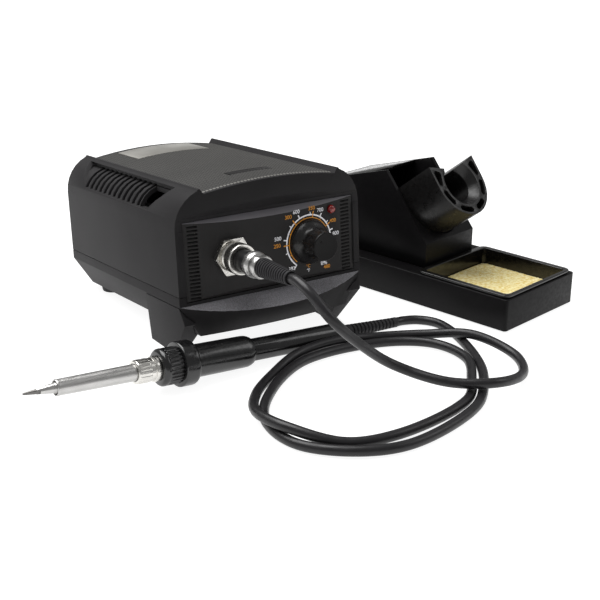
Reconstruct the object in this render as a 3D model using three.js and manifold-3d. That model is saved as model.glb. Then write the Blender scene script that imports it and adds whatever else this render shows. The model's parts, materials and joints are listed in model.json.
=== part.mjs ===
// Soldering station: a mains control unit, a pencil iron on its cord and an iron rest with a wet sponge.
// Millimetres, +Z up, front toward -Y. Each unit is built in its own frame and then set on the bench.
import * as THREE from "three";
import { mergeVertices } from "three/addons/utils/BufferGeometryUtils.js";
import Module from "manifold-3d";

const wasm = await Module();
wasm.setup();

// Clearances
const gap = 0.3; // between two pieces that touch
const wall = 2.2; // moulded wall of both units

// Control unit: overall
const bodyWidth = 120;
const bodyDepth = 146;
const floorWidth = 97; // flat underside
const creaseZ = 18.3; // where the raked underside meets the upright sides
const partingZ = 23.7;
const bandWall = 2; // wall of the upright band between the two
const tilt = THREE.MathUtils.degToRad(5.075); // the front stands higher than the back
const rearFootHeight = 3;
const unitFront = { x: 0, y: 2.6024 }; // its front at the underside, over the bench

// Control unit: shell
const shoulder = { x: 38, z: 61, radius: 22, sweep: 68.7 };
const ridge = { x: 44.5, z: 82.3, innerX: 42.5, innerZ: 79.4 };
const crownZ = 83.2; // middle of the arched top
const browBow = 5; // how far the brow stands forward at the middle
const brow = { foot: 66.5, pitch: 1.1 }; // its underside rises forward from here
const lipBow = 19;
const floorBow = 3.5;
const ledgeSlope = 0.424;
const louvre = { bottom: 67, top: 80.5, floorX: 43, floorRadius: 17, back: 2.4, innerX: 46.5 };
const louvreBottomY = [33.5, 118];
const louvreTopY = [19.7, 133.5];
const louvreSlots = { count: 12, first: 46.8, pitch: 6.45, width: 2.5, from: 68.2, to: 78.6, innerX: 40 };

// Front legs: outlines seen from the side and from the front
const legSide = [[1, 17.5], [-2, 8], [22, -18], [48.2, -18], [42, 17.5]];
const legFront = [[60, 17.8], [54.7, -20], [49.7, -20], [44, 17.8]];
const rearFoot = { x: 40, fromRear: 12, radius: 7, foot: 6 };

// Label plate on the top
const topPlate = { fromX: -27, toX: 22.6, front: 109, rear: 138, thickness: 0.5 };

// Front panel
const panel = { width: 110.6, bottom: 20.3, top: 64.6, bulge: 3.3, edgeY: 0.15, thickness: 2.5 };
const panelBevel = 2; // sloped band along its top and bottom edges
const panelEdge = 2.4; // height of those edges
const slots = { count: 20, pitch: 2.1, height: 1.1, innerX: 46.7, outerX: 53, lowest: 22 };
const post = { radius: 3, spots: [[-38, 27], [38, 27], [-38, 58], [10, 59]] };
const boardY = 10.6;
const board = { width: 96, bottom: 25, top: 62, thickness: 1.6 };

// Lamp, dial knob and its pot
const lamp = { x: 39.7, z: 58.8, radius: 2.5, height: 2.2 };
const dial = { x: 23.5, z: 42.5 };
const knob = { baseRadius: 11.9, gripRadius: 8.2, height: 17, hollowRadius: 9, hollowDepth: 3.2 };
const pot = { radius: 8.3, bushing: 3.5, shaft: 3, nutRadius: 6.4, nutThickness: 2 };

// Cable socket and plug, distances measured outward from the panel face
const socket = { x: -28, z: 43, faceY: -3.1, radius: 8, wall: 1.35, length: 8, flange: 2.5 };
socket.bore = socket.radius - socket.wall;
const socketBoss = 1.9; // its width round the socket, as for the washer and the nut
const socketWasher = { width: 1.8, thickness: 0.65 };
const socketNut = { width: 3.6, from: 1.25, to: 3.8 };
const coupling = { wall: 0.5, from: 6.5, to: 13 };
coupling.radius = socket.radius + gap + coupling.wall;
const plug = { radius: 6, end: 23 };
const clampNut = { radius: 7.3, flats: 6.6, across: 11.8, ringEnd: 28, end: 34.5 };
const boot = { from: 34.8, end: 61, radius: 5.4, tipRadius: 3.6, neck: 4.4, rings: 13, groove: 0.8 };

// Rear of the control unit
const rear = { inset: 2, thickness: 2.5 };
const inlet = { x: -26, z: 36, width: 49, height: 31, flange: 2.5 };
const inletBody = { width: 28, height: 23, depth: 22 };
const coupler = {
  depth: 16,
  rise: 1.5,
  outline: [[-12.2, -4.5], [12.2, -4.5], [12.2, 5], [8.2, 9], [-8.2, 9], [-12.2, 5]],
  pins: [[0, 6], [-6.5, 2], [6.5, 2]],
};
const drawer = { width: 23, height: 6.4, depth: 18 };
const rocker = { x: 28, z: 36, width: 13, height: 19, depth: 16, wall: 1, rim: 3, rimThickness: 1.8 };
rocker.rest = THREE.MathUtils.degToRad(12);
const rockerSide = [[-4, -8.6], [4, -8.6], [1.6, 0], [4, 8.6], [-4, 8.6], [-8, 3], [-8, -3]];

// Transformer
const core = { width: 66, height: 56, depth: 38, y: 92 };
const coil = { wire: 10.3, corner: 4 };

// Iron, measured along its length from the bit
const ironSpot = { x: -161.3, y: -22.8, z: 18.36 };
const ironYaw = 0.047;
const ironDip = 0.064; // it lies on its collar and its cord end
const heaterRadius = 3.2;
const bitEnd = 44;
const heaterEnd = 106.5;
const handleFoot = 22; // depth of the handle's neck inside the grip
const bit = { facetEnd: 7.1, shoulder: 16.8, radius: 2.65, tipRadius: 0.35 };
const barrel = { from: 17.1, to: 64, radius: 4.3, endRadius: 4.6, wall: 0.5 };
const barrelNut = { from: 61.5, to: 74.8, radius: 6.5, flange: 6.9 };
const sleeveNut = { from: 75.1, to: 86.2, radius: 10.1 };
const grip = { from: 86.5, collarEnd: 96.2, collarRadius: 12.3, end: 132.5, radius: 8.7 };
const handle = { from: 130.5, end: 191, radius: 6.4 };
const relief = { from: 191.3, end: 238.4, radius: 4, endRadius: 3.05, slots: 12 };

// Iron rest
const restSpot = { x: 124.75, y: -54.64 };
const restYaw = THREE.MathUtils.degToRad(13.713);
const rest = { width: 73.2, length: 165, height: 20.8, corner: 2, floor: 1.6, foot: 1 };
const tray = { inset: 2.3, sideInset: 3.9, depth: 64.4, rise: 2, rim: 2.4, wall: 1.5, floor: 1.5 };
tray.rimTop = rest.height + tray.rise;
tray.corner = 3;
tray.rimCorner = 4.5;
const sponge = { thickness: 8.7, corner: 4 };
const tower = { width: 49.3, clearance: 3.6, sillZ: 36.5, browA: 104.6, browZ: 78, rear: 158 };
tower.front = tray.inset + tray.depth + tower.clearance;
const lidDrop = Math.tan(THREE.MathUtils.degToRad(16.2));
const holder = { a: 63.75, z: 73.17, rise: 37.5, radius: 22, leg: 15.2, valley: 5.9, length: 56 };
const holderBore = { radius: 10.7, mouth: 15, flare: 5.3, slot: 4.5 }; // slot: half its open top
const holderPocket = { inner: 16.6, outer: 20.2, depth: 14 };

// Cord
const cordRadius = 2.75;
const cordSides = 10;
const cordSteps = 76;

// --- shapes -------------------------------------------------------------

function solid(geometry) {
  const plain = new THREE.BufferGeometry();
  plain.setAttribute("position", geometry.getAttribute("position"));
  if (geometry.index) plain.setIndex(geometry.index);
  const merged = mergeVertices(plain, 1e-4);
  const points = merged.getAttribute("position");
  const corners = [];
  let volume = 0;
  const a = new THREE.Vector3();
  const b = new THREE.Vector3();
  const c = new THREE.Vector3();
  for (let i = 0; i < merged.index.count; i += 3) {
    const [p, q, r] = [0, 1, 2].map((k) => merged.index.getX(i + k));
    if (p === q || q === r || r === p) continue;
    a.fromBufferAttribute(points, p);
    b.fromBufferAttribute(points, q);
    c.fromBufferAttribute(points, r);
    volume += a.dot(b.cross(c));
    corners.push(p, q, r);
  }
  if (volume < 0) corners.reverse();
  return new wasm.Manifold(
    new wasm.Mesh({
      numProp: 3,
      vertProperties: new Float32Array(points.array),
      triVerts: new Uint32Array(corners),
    }),
  );
}

const join = (...bodies) => bodies.reduce((all, body) => all.add(body));
const cut = (body, ...tools) => tools.reduce((left, tool) => left.subtract(tool), body);
const common = (a, b) => a.intersect(b);

function surface(body) {
  const mesh = body.getMesh();
  const geometry = new THREE.BufferGeometry();
  geometry.setAttribute("position", new THREE.BufferAttribute(new Float32Array(mesh.vertProperties), 3));
  geometry.setIndex(new THREE.BufferAttribute(new Uint32Array(mesh.triVerts), 1));
  return geometry.toNonIndexed();
}

// Box between two corners
function box(x0, x1, y0, y1, z0, z1) {
  const geometry = new THREE.BoxGeometry(x1 - x0, y1 - y0, z1 - z0);
  geometry.translate((x0 + x1) / 2, (y0 + y1) / 2, (z0 + z1) / 2);
  return solid(geometry);
}

// Box centred on (x, z), running from y0 to y1
function block(x, z, width, height, y0, y1) {
  return box(x - width / 2, x + width / 2, y0, y1, z - height / 2, z + height / 2);
}

function outline(points) {
  return new THREE.Shape(points.map(([u, v]) => new THREE.Vector2(u, v)));
}

function extrude(points, depth, holes = []) {
  const shape = outline(points);
  shape.holes = holes.map(outline);
  return new THREE.ExtrudeGeometry(shape, { depth, bevelEnabled: false, steps: 1 });
}

// Outline in (x, y), standing from z0 to z1
function column(points, z0, z1) {
  return solid(extrude(points, z1 - z0).translate(0, 0, z0));
}

// Outline in (x, z), running from y0 to y1
function alongY(points, y0, y1, holes = []) {
  return solid(extrude(points, y1 - y0, holes).rotateX(Math.PI / 2).translate(0, y1, 0));
}

// Outline in (y, z), running from x0 to x1
function alongX(points, x0, x1) {
  const geometry = extrude(points, x1 - x0);
  geometry.rotateX(Math.PI / 2).rotateZ(Math.PI / 2);
  return solid(geometry.translate(x0, 0, 0));
}

// Profile of [radius, height] pairs turned about Z
function turned(profile, sides = 20) {
  const points = profile.map(([r, h]) => new THREE.Vector2(r, h));
  return new THREE.LatheGeometry(points, sides).rotateX(Math.PI / 2);
}

// A turned piece whose height runs outward (toward -Y) from a point of the front panel
function knobbed(profile, x, y, z, sides = 20, spin = 0) {
  return solid(turned(profile, sides).rotateZ(spin).rotateX(Math.PI / 2).translate(x, y, z));
}

// A turned piece whose height runs along +X
function lengthwise(profile, sides = 20, spin = 0) {
  return solid(turned(profile, sides).rotateZ(spin).rotateY(Math.PI / 2));
}

const disc = (radius, from, to) => [[0, from], [radius, from], [radius, to], [0, to]];
const tube = (outer, inner, from, to) => [
  [inner, from],
  [outer, from],
  [outer, to],
  [inner, to],
  [inner, from],
];

function rounded(u0, u1, v0, v1, radius, steps = 4) {
  const points = [];
  const centres = [
    [u1 - radius, v1 - radius],
    [u0 + radius, v1 - radius],
    [u0 + radius, v0 + radius],
    [u1 - radius, v0 + radius],
  ];
  centres.forEach(([u, v], quarter) => {
    for (let i = 0; i <= steps; i += 1) {
      const angle = ((quarter + i / steps) * Math.PI) / 2;
      points.push([u + radius * Math.cos(angle), v + radius * Math.sin(angle)]);
    }
  });
  return points;
}

function arc(u, v, radius, from, to, steps) {
  return Array.from({ length: steps + 1 }, (_, i) => {
    const angle = THREE.MathUtils.degToRad(from + ((to - from) * i) / steps);
    return [u + radius * Math.cos(angle), v + radius * Math.sin(angle)];
  });
}

// Two outlines with the same number of points, joined by straight sides
function loft(lower, z0, upper, z1) {
  const count = lower.length;
  const corners = [];
  lower.forEach(([x, y]) => corners.push(x, y, z0));
  upper.forEach(([x, y]) => corners.push(x, y, z1));
  const faces = [];
  for (let i = 0; i < count; i += 1) {
    const next = (i + 1) % count;
    faces.push(i, next, count + next, i, count + next, count + i);
  }
  const caps = THREE.ShapeUtils.triangulateShape(lower.map(([x, y]) => new THREE.Vector2(x, y)), []);
  caps.forEach(([a, b, c]) => faces.push(c, b, a, count + a, count + b, count + c));
  const geometry = new THREE.BufferGeometry();
  geometry.setAttribute("position", new THREE.Float32BufferAttribute(corners, 3));
  geometry.setIndex(faces);
  return solid(geometry);
}

// --- materials and nodes --------------------------------------------------

const finishes = {
  shell: { color: 0x464647, roughness: 0.55 },
  black: { color: 0x1c1c1e, roughness: 0.5 },
  grip: { color: 0x3a3a3c, roughness: 0.6 },
  steel: { color: 0xb4b3ae, roughness: 0.3, metalness: 1 },
  nickel: { color: 0xcfc9bf, roughness: 0.2, metalness: 1 },
  copper: { color: 0xa8663a, roughness: 0.4, metalness: 1 },
  board: { color: 0x2d5c34, roughness: 0.6 },
  coil: { color: 0xb0862e, roughness: 0.6 },
  lamp: { color: 0x8a1818, roughness: 0.2 },
  sponge: { color: 0xe8d78a, roughness: 0.95 },
  rubber: { color: 0x202022, roughness: 0.8 },
  cord: { color: 0x37363a, roughness: 0.5 },
};
const materials = Object.fromEntries(
  Object.entries(finishes).map(([name, look]) => [name, new THREE.MeshStandardMaterial(look)]),
);

function piece(parent, name, body, finish) {
  const mesh = new THREE.Mesh(surface(body), materials[finish]);
  mesh.name = name;
  parent.add(mesh);
  return mesh;
}

const layout = new THREE.Group();
const unit = new THREE.Group();
const iron = new THREE.Group();
const ironRest = new THREE.Group();
layout.add(unit, iron, ironRest);

// --- control unit: shell --------------------------------------------------
// Frame: X across, Y from the front of the shell to the rear, Z up from the flat underside.

const half = bodyWidth / 2;
const bowed = (x, reach, width) => -reach * (1 - (x / width) ** 2);

function plan(halfWidth, reach, front, rear, steps = 16) {
  const points = Array.from({ length: steps + 1 }, (_, i) => {
    const x = -halfWidth + (2 * halfWidth * i) / steps;
    return [x, front + bowed(x, reach, halfWidth)];
  });
  points.push([halfWidth, rear], [-halfWidth, rear]);
  return points;
}

function crown(halfWidth, edgeZ, middleZ, steps = 10) {
  return Array.from({ length: steps + 1 }, (_, i) => {
    const x = halfWidth - (2 * halfWidth * i) / steps;
    return [x, edgeZ + (middleZ - edgeZ) * (1 - (x / halfWidth) ** 2)];
  });
}

function upperOutline(inset, bottom) {
  const side = arc(shoulder.x, shoulder.z, shoulder.radius - inset, 0, inset ? 60 : shoulder.sweep, 6);
  const lip = inset ? [] : [[ridge.x + 1, ridge.z], [ridge.x, ridge.z]];
  const right = [[half - inset, bottom], ...side, ...lip];
  const left = right.map(([x, z]) => [-x, z]).reverse();
  return [...right, ...crown(ridge.innerX, ridge.innerZ - inset, crownZ - inset), ...left];
}

const shellTop = ridge.z + 2;
const browUnder = alongX(
  [[-20, 60], [0, 60], [0, brow.foot], [-20, brow.foot + 20 * brow.pitch]],
  -half - 1,
  half + 1,
);
const panelOpening = block(
  0,
  (panel.bottom + panel.top) / 2,
  panel.width + 2 * gap,
  panel.top - panel.bottom + 2 * gap,
  -20,
  wall + 12,
);

function louvreRecess(side) {
  const mouth = [
    [louvreBottomY[0], louvre.bottom],
    [louvreBottomY[1], louvre.bottom],
    [louvreTopY[1], louvre.top],
    [louvreTopY[0], louvre.top],
  ];
  const span = side > 0 ? [louvre.innerX, half + 5] : [-half - 5, -louvre.innerX];
  const floor = arc(side * louvre.floorX, shoulder.z, louvre.floorRadius, 0, 345, 23);
  return cut(alongX(mouth, ...span), alongY(floor, 0, bodyDepth));
}

function louvreBacking(side) {
  const ring = (radius) => arc(0, shoulder.z, radius, 0, 90, 6);
  const sector = [...ring(louvre.floorRadius), ...ring(louvre.floorRadius - louvre.back).reverse()];
  const points = sector.map(([x, z]) => [side * (louvre.floorX + x), z]);
  const backing = alongY(points, louvreTopY[0] - wall, louvreTopY[1] + wall);
  return common(backing, alongY(upperOutline(0.4, partingZ), 0, bodyDepth));
}

function louvreCuts(side) {
  return Array.from({ length: louvreSlots.count }, (_, i) => {
    const y = louvreSlots.first + i * louvreSlots.pitch;
    const [y0, y1] = [y - louvreSlots.width / 2, y + louvreSlots.width / 2];
    const middle = [side * (louvreSlots.innerX + half) / 2, (louvreSlots.from + louvreSlots.to) / 2];
    return block(...middle, half - louvreSlots.innerX, louvreSlots.to - louvreSlots.from, y0, y1);
  });
}

const upperBottom = partingZ + gap / 2;
const upperFront = column(plan(half, browBow, 0, bodyDepth), 0, shellTop);
const upperSolid = common(alongY(upperOutline(0, upperBottom), -20, bodyDepth), upperFront);
const upperHollow = alongY(upperOutline(wall, upperBottom - 1), wall, bodyDepth + 1);
let upperShell = cut(upperSolid, upperHollow, browUnder, panelOpening);
for (const side of [1, -1]) {
  upperShell = join(upperShell, louvreBacking(side));
  upperShell = cut(upperShell, louvreRecess(side), ...louvreCuts(side));
}
piece(unit, "upper_shell", upperShell, "shell");

const lowerTop = partingZ - gap / 2;
function nose(inset, rear = bodyDepth) {
  const low = plan(floorWidth / 2 - inset, floorBow, inset - 0.65, rear);
  const high = plan(half - inset, lipBow, inset, rear);
  return loft(low, inset, high, creaseZ);
}
// All that is over the ledge's slope, which ends at the front of the band or at the back of its wall
function aboveLedge(lift, back = 0) {
  const front = -lipBow - 20;
  const slope = [front, back].map((y) => [y, creaseZ + y * ledgeSlope - lift]);
  return alongX([...slope, [back, shellTop], [front, shellTop]], -half - 1, half + 1);
}
const lowerBand = box(-half, half, 0, bodyDepth, creaseZ, lowerTop);
const lowerHollow = box(
  -half + bandWall,
  half - bandWall,
  bandWall,
  bodyDepth + 1,
  creaseZ - 0.3,
  lowerTop + 1,
);
const lowerShell = cut(
  join(cut(nose(0), aboveLedge(0)), lowerBand),
  join(cut(nose(wall, bodyDepth + 1), aboveLedge(wall, bandWall)), lowerHollow, panelOpening),
);
piece(unit, "lower_shell", lowerShell, "shell");

// Front legs: raked fins that carry on the line of the sides down to the bench
const bench = () => {
  const slab = new THREE.BoxGeometry(400, 400, 100);
  slab.translate(0, 0, -50 - rearFootHeight);
  slab.rotateX(tilt).translate(0, bodyDepth, 0);
  return solid(slab);
};
for (const [name, side] of [["leg_left", -1], ["leg_right", 1]]) {
  const fin = common(
    alongX(legSide, -half - 2, half + 2),
    alongY(legFront.map(([x, z]) => [side * x, z]), -20, 80),
  );
  piece(unit, name, cut(fin, nose(-gap), lowerBand, bench()), "shell");
}
const footProfile = [[0, -8], [rearFoot.foot, -8], [rearFoot.radius, -gap], [0, -gap]];
for (const [name, side] of [["rear_foot_left", -1], ["rear_foot_right", 1]]) {
  const pad = turned(footProfile, 16).translate(side * rearFoot.x, bodyDepth - rearFoot.fromRear, 0);
  piece(unit, name, cut(solid(pad), bench()), "rubber");
}

const topArch = (x) => crownZ - (crownZ - ridge.innerZ) * (x / ridge.innerX) ** 2;
const plateLine = (lift) => Array.from({ length: 9 }, (_, i) => {
  const x = topPlate.fromX + ((topPlate.toX - topPlate.fromX) * i) / 8;
  return [x, topArch(x) + lift];
});
const plateSection = [...plateLine(gap), ...plateLine(gap + topPlate.thickness).reverse()];
piece(unit, "top_plate", alongY(plateSection, topPlate.front, topPlate.rear), "steel");

// --- control unit: front panel and what it carries --------------------------

const panelHalf = panel.width / 2;
const faceAt = (x) => panel.edgeY + bowed(x, panel.bulge, panelHalf);
const panelPlan = [];
const panelSteps = 10;
for (let i = 0; i <= panelSteps; i += 1) {
  const x = -panelHalf + (panel.width * i) / panelSteps;
  panelPlan.push([x, faceAt(x)]);
}
const panelBack = panelPlan.map(([x, y]) => [x, y + panel.thickness]).reverse();
const bevelSide = [
  [6, panel.bottom],
  [6, panel.top],
  [panel.edgeY + 0.4, panel.top],
  [panel.edgeY - panel.bulge - 0.4, panel.top - panelBevel - 1.5],
  [panel.edgeY - panel.bulge - 0.4, panel.bottom + panelBevel + 1.5],
  [panel.edgeY + 0.4, panel.bottom],
];
const slotCuts = [];
const slotX = (slots.innerX + slots.outerX) / 2;
for (let i = 0; i < slots.count; i += 1) {
  const z = slots.lowest + i * slots.pitch;
  slotCuts.push(block(slotX, z, slots.outerX - slots.innerX, slots.height, -5, 8));
  slotCuts.push(block(-slotX, z, slots.outerX - slots.innerX, slots.height, -5, 8));
}
const postLength = (x) => boardY - gap - faceAt(x) - 1;
const posts = post.spots.map(([x, z]) => (
  knobbed(disc(post.radius, 0, postLength(x)), x, boardY - gap, z, 12)
));
const boss = knobbed(disc(socket.radius + socketBoss, 0, 5), socket.x, socket.faceY + 5, socket.z);
// The plate is thin, but its top and bottom edges are deeper and close the opening behind the bevels
const edgeBack = panel.edgeY + panel.thickness;
const edgePlan = [...panelPlan, [panelHalf, edgeBack], [-panelHalf, edgeBack]];
const plate = join(
  column([...panelPlan, ...panelBack], panel.bottom, panel.top),
  column(edgePlan, panel.bottom, panel.bottom + panelEdge),
  column(edgePlan, panel.top - panelEdge, panel.top),
);
const frontPanel = cut(
  join(common(plate, alongX(bevelSide, -half, half)), boss, ...posts),
  knobbed(disc(socket.radius + gap, -20, 20), socket.x, 0, socket.z),
  knobbed(disc(pot.bushing + gap, -20, 20), dial.x, 0, dial.z, 16),
  knobbed(disc(lamp.radius + gap, -20, 20), lamp.x, 0, lamp.z, 16),
  ...slotCuts,
);
piece(unit, "front_panel", frontPanel, "black");

const lampFace = faceAt(lamp.x);
const lampProfile = [
  [0, gap - boardY],
  [lamp.radius, gap - boardY],
  [lamp.radius, 0.4 - lampFace],
  [lamp.radius * 0.75, 1.6 - lampFace],
  [0, lamp.height - lampFace],
];
piece(unit, "lamp_lens", knobbed(lampProfile, lamp.x, 0, lamp.z, 16), "lamp");

// Socket: threaded barrel clamped through the panel by a washer and a hex nut
const outward = (y) => -socket.faceY + y;
const socketBack = outward(0) - 5 - gap;
const fromPanel = (profile, sides = 20, spin = 0) => knobbed(profile, socket.x, 0, socket.z, sides, spin);
piece(unit, "socket_barrel", fromPanel([
  [socket.bore, socketBack - 6],
  [socket.radius + socket.flange, socketBack - 6],
  [socket.radius + socket.flange, socketBack],
  [socket.radius, socketBack],
  [socket.radius, outward(socket.length)],
  [socket.bore, outward(socket.length)],
  [socket.bore, socketBack - 6],
]), "nickel");
piece(unit, "socket_insert", fromPanel(disc(socket.bore - gap, socketBack - 6, outward(1))), "black");
const washerRadii = [socket.radius + socketWasher.width, socket.radius + gap];
const washerTop = outward(gap + socketWasher.thickness);
piece(unit, "socket_washer", fromPanel(tube(...washerRadii, outward(gap), washerTop)), "nickel");
const nutRadius = socket.radius + socketNut.width;
const nutProfile = disc(nutRadius, outward(socketNut.from), outward(socketNut.to));
const nutBlank = fromPanel(nutProfile, 6, Math.PI / 6);
const nutHole = fromPanel(disc(socket.radius + gap, 0, outward(socketNut.to + 2)));
piece(unit, "socket_nut", cut(nutBlank, nutHole), "nickel");

// Plug
piece(unit, "coupling_ring", fromPanel([
  [socket.radius + gap, outward(coupling.from)],
  [coupling.radius, outward(coupling.from)],
  [coupling.radius, outward(coupling.to)],
  [plug.radius + gap, outward(coupling.to)],
  [plug.radius + gap, outward(coupling.to - 1.6)],
  [socket.radius + gap, outward(coupling.to - 1.6)],
  [socket.radius + gap, outward(coupling.from)],
], 24), "nickel");
piece(unit, "plug_body", fromPanel([
  [0, outward(1 + gap)],
  [socket.bore - gap, outward(1 + gap)],
  [socket.bore - gap, outward(coupling.to - 2)],
  [plug.radius, outward(coupling.to - 2)],
  [plug.radius, outward(plug.end)],
  [0, outward(plug.end)],
]), "black");
const clampTube = (radius, from, to) => (
  fromPanel(tube(radius, boot.neck + gap, outward(from), outward(to)))
);
const clampFlats = common(
  clampTube(clampNut.flats, clampNut.ringEnd - 1, clampNut.end),
  block(socket.x, socket.z, 40, clampNut.across, -60, 0),
);
const clampRing = clampTube(clampNut.radius, plug.end + gap, clampNut.ringEnd);
piece(unit, "plug_clamp_nut", join(clampRing, clampFlats), "steel");
const bootFoot = outward(plug.end + 1.5);
const bootProfile = [[0, bootFoot], [boot.neck, bootFoot], [boot.neck, outward(boot.from)]];
const ringPitch = (boot.end - boot.from) / boot.rings;
for (let i = 0; i < boot.rings; i += 1) {
  const from = outward(boot.from + i * ringPitch);
  const radius = boot.radius + ((boot.tipRadius - boot.radius) * i) / (boot.rings - 1);
  bootProfile.push([radius, from], [radius, from + ringPitch * 0.6]);
  bootProfile.push([radius - boot.groove, from + ringPitch * 0.6]);
  bootProfile.push([radius - boot.groove, from + ringPitch]);
}
bootProfile.push([0, outward(boot.end)]);
piece(unit, "plug_boot", fromPanel(bootProfile, 10), "rubber");

// Pot, its nut, and the knob with the shaft
const potFace = faceAt(dial.x - pot.radius) + panel.thickness + gap;
const potSeat = Math.max(potFace, faceAt(dial.x + pot.radius) + panel.thickness + gap);
const dialFace = -faceAt(dial.x - knob.baseRadius);
const fromDial = (profile, sides = 20, spin = 0) => knobbed(profile, dial.x, 0, dial.z, sides, spin);
const potTop = -faceAt(dial.x) + 2.8;
piece(unit, "pot_body", fromDial([
  [pot.shaft + gap, -potSeat - 4],
  [pot.shaft + gap, potTop],
  [pot.bushing, potTop],
  [pot.bushing, -potSeat],
  [pot.radius, -potSeat],
  [pot.radius, -(boardY - gap)],
  [0, -(boardY - gap)],
  [0, -potSeat - 4],
  [pot.shaft + gap, -potSeat - 4],
].reverse(), 16), "steel");
const potNutFrom = -faceAt(dial.x - pot.nutRadius) + gap;
piece(unit, "pot_nut", cut(
  fromDial(disc(pot.nutRadius, potNutFrom, potNutFrom + pot.nutThickness), 6),
  fromDial(disc(pot.bushing + gap, potNutFrom - 1, potNutFrom + 5), 16),
), "nickel");
const knobBase = dialFace + gap;
const knobTop = dialFace + knob.height;
piece(unit, "knob", cut(fromDial([
  [0, knobBase + knob.hollowDepth],
  [knob.hollowRadius, knobBase + knob.hollowDepth],
  [knob.hollowRadius, knobBase],
  [knob.baseRadius, knobBase],
  [knob.baseRadius - 0.4, knobBase + 1.6],
  [knob.baseRadius - 1.8, knobBase + 3],
  [knob.gripRadius + 0.5, knobBase + 4.6],
  [knob.gripRadius, knobBase + 7],
  [knob.gripRadius, knobTop - 0.8],
  [knob.gripRadius - 0.8, knobTop],
  [0, knobTop],
]), fromDial(disc(pot.shaft + gap, knobBase - 1, knobTop - 3), 16)), "black");
piece(unit, "knob_shaft", fromDial(disc(pot.shaft, -potSeat - 4 + gap, knobTop - 3 - gap), 16), "steel");

// --- control unit: inside and rear -------------------------------------------

const boardHeight = board.top - board.bottom;
piece(
  unit,
  "circuit_board",
  block(0, board.bottom + boardHeight / 2, board.width, boardHeight, boardY, boardY + board.thickness),
  "board",
);

// The core's three legs stand between two windows, and the coil is wound on the middle one
const limb = core.width / 6;
const coreZ = wall + gap + core.height / 2;
const coreY = [core.y - core.depth / 2, core.y + core.depth / 2];
const windowHeight = core.height - 2 * limb;
piece(unit, "transformer_core", cut(
  block(0, coreZ, core.width, core.height, ...coreY),
  block(1.5 * limb, coreZ, limb, windowHeight, coreY[0] - 1, coreY[1] + 1),
  block(-1.5 * limb, coreZ, limb, windowHeight, coreY[0] - 1, coreY[1] + 1),
), "steel");
const aroundLimb = (by) => [-limb - by, limb + by, coreY[0] - by, coreY[1] + by];
const coilZ = [coreZ - windowHeight / 2 + gap, coreZ + windowHeight / 2 - gap];
piece(unit, "transformer_coil", cut(
  column(rounded(...aroundLimb(coil.wire), coil.corner), ...coilZ),
  box(...aroundLimb(gap), coilZ[0] - 1, coilZ[1] + 1),
), "coil");

const rearFace = bodyDepth - rear.inset;
const rearFront = rearFace - rear.thickness;
const hollowWidth = bodyWidth - 2 * (wall + gap);
const rearBlank = join(
  nose(wall + gap),
  block(0, (creaseZ + partingZ) / 2, hollowWidth, partingZ - creaseZ + 0.2, wall, bodyDepth),
);
const rearLower = common(rearBlank, box(-half, half, rearFront, rearFace, wall + gap, partingZ));
const rearUpper = alongY(upperOutline(wall + gap, partingZ - 1), rearFront, rearFace);
// Pieces mounted on the rear, centred on their spot, sized outside a margin
const atInlet = (width, height, y0, y1) => block(inlet.x, inlet.z, width, height, y0, y1);
const atRocker = (margin, y0, y1) => (
  block(rocker.x, rocker.z, rocker.width + 2 * margin, rocker.height + 2 * margin, y0, y1)
);
const throughRear = [rearFront - 1, rearFace + 1];
piece(unit, "rear_panel", cut(
  join(rearUpper, rearLower),
  atInlet(inletBody.width + 2 * gap, inletBody.height + 2 * gap, ...throughRear),
  atRocker(rocker.wall + gap, ...throughRear),
), "shell");

const seatY = rearFace + gap;
const inletFace = seatY + inlet.flange;
const drawerZ = inlet.z - inletBody.height / 2 + 1 + drawer.height / 2;
const couplerMouth = coupler.outline.map(([x, z]) => [inlet.x + x, inlet.z + coupler.rise + z]);
const pins = coupler.pins.map(([x, z]) => (
  block(inlet.x + x, inlet.z + z, 2, 4, inletFace - coupler.depth - 1, inletFace - 5)
));
const inletHousing = cut(
  join(
    atInlet(inlet.width, inlet.height, seatY, inletFace),
    atInlet(inletBody.width, inletBody.height, seatY - inletBody.depth, seatY + 1),
  ),
  alongY(couplerMouth, inletFace - coupler.depth, inletFace + 1),
  block(
    inlet.x,
    drawerZ,
    drawer.width + 2 * gap,
    drawer.height + 2 * gap,
    inletFace - drawer.depth - gap,
    inletFace + 1,
  ),
);
piece(unit, "mains_inlet", join(inletHousing, ...pins), "black");
piece(
  unit,
  "fuse_drawer",
  block(inlet.x, drawerZ, drawer.width, drawer.height, inletFace - drawer.depth, inletFace),
  "black",
);

piece(unit, "switch_housing", cut(
  join(
    atRocker(rocker.rim, seatY, seatY + rocker.rimThickness),
    atRocker(rocker.wall, seatY - rocker.depth, seatY + 1),
  ),
  atRocker(gap, seatY - rocker.depth + 4, seatY + 3),
), "black");
const rockerBlank = extrude(rockerSide, rocker.width);
rockerBlank.rotateX(Math.PI / 2).rotateZ(Math.PI / 2).translate(-rocker.width / 2, 0, 0);
rockerBlank.rotateX(rocker.rest).translate(rocker.x, seatY - 1, rocker.z);
piece(unit, "switch_rocker", solid(rockerBlank), "black");

unit.rotation.x = -tilt;
unit.position.set(unitFront.x, unitFront.y + bodyDepth * Math.cos(tilt), rearFootHeight);
for (const child of unit.children) child.position.y -= bodyDepth;

// --- iron ---------------------------------------------------------------------
// Frame: X along the iron from the bit to the cord.

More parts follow.
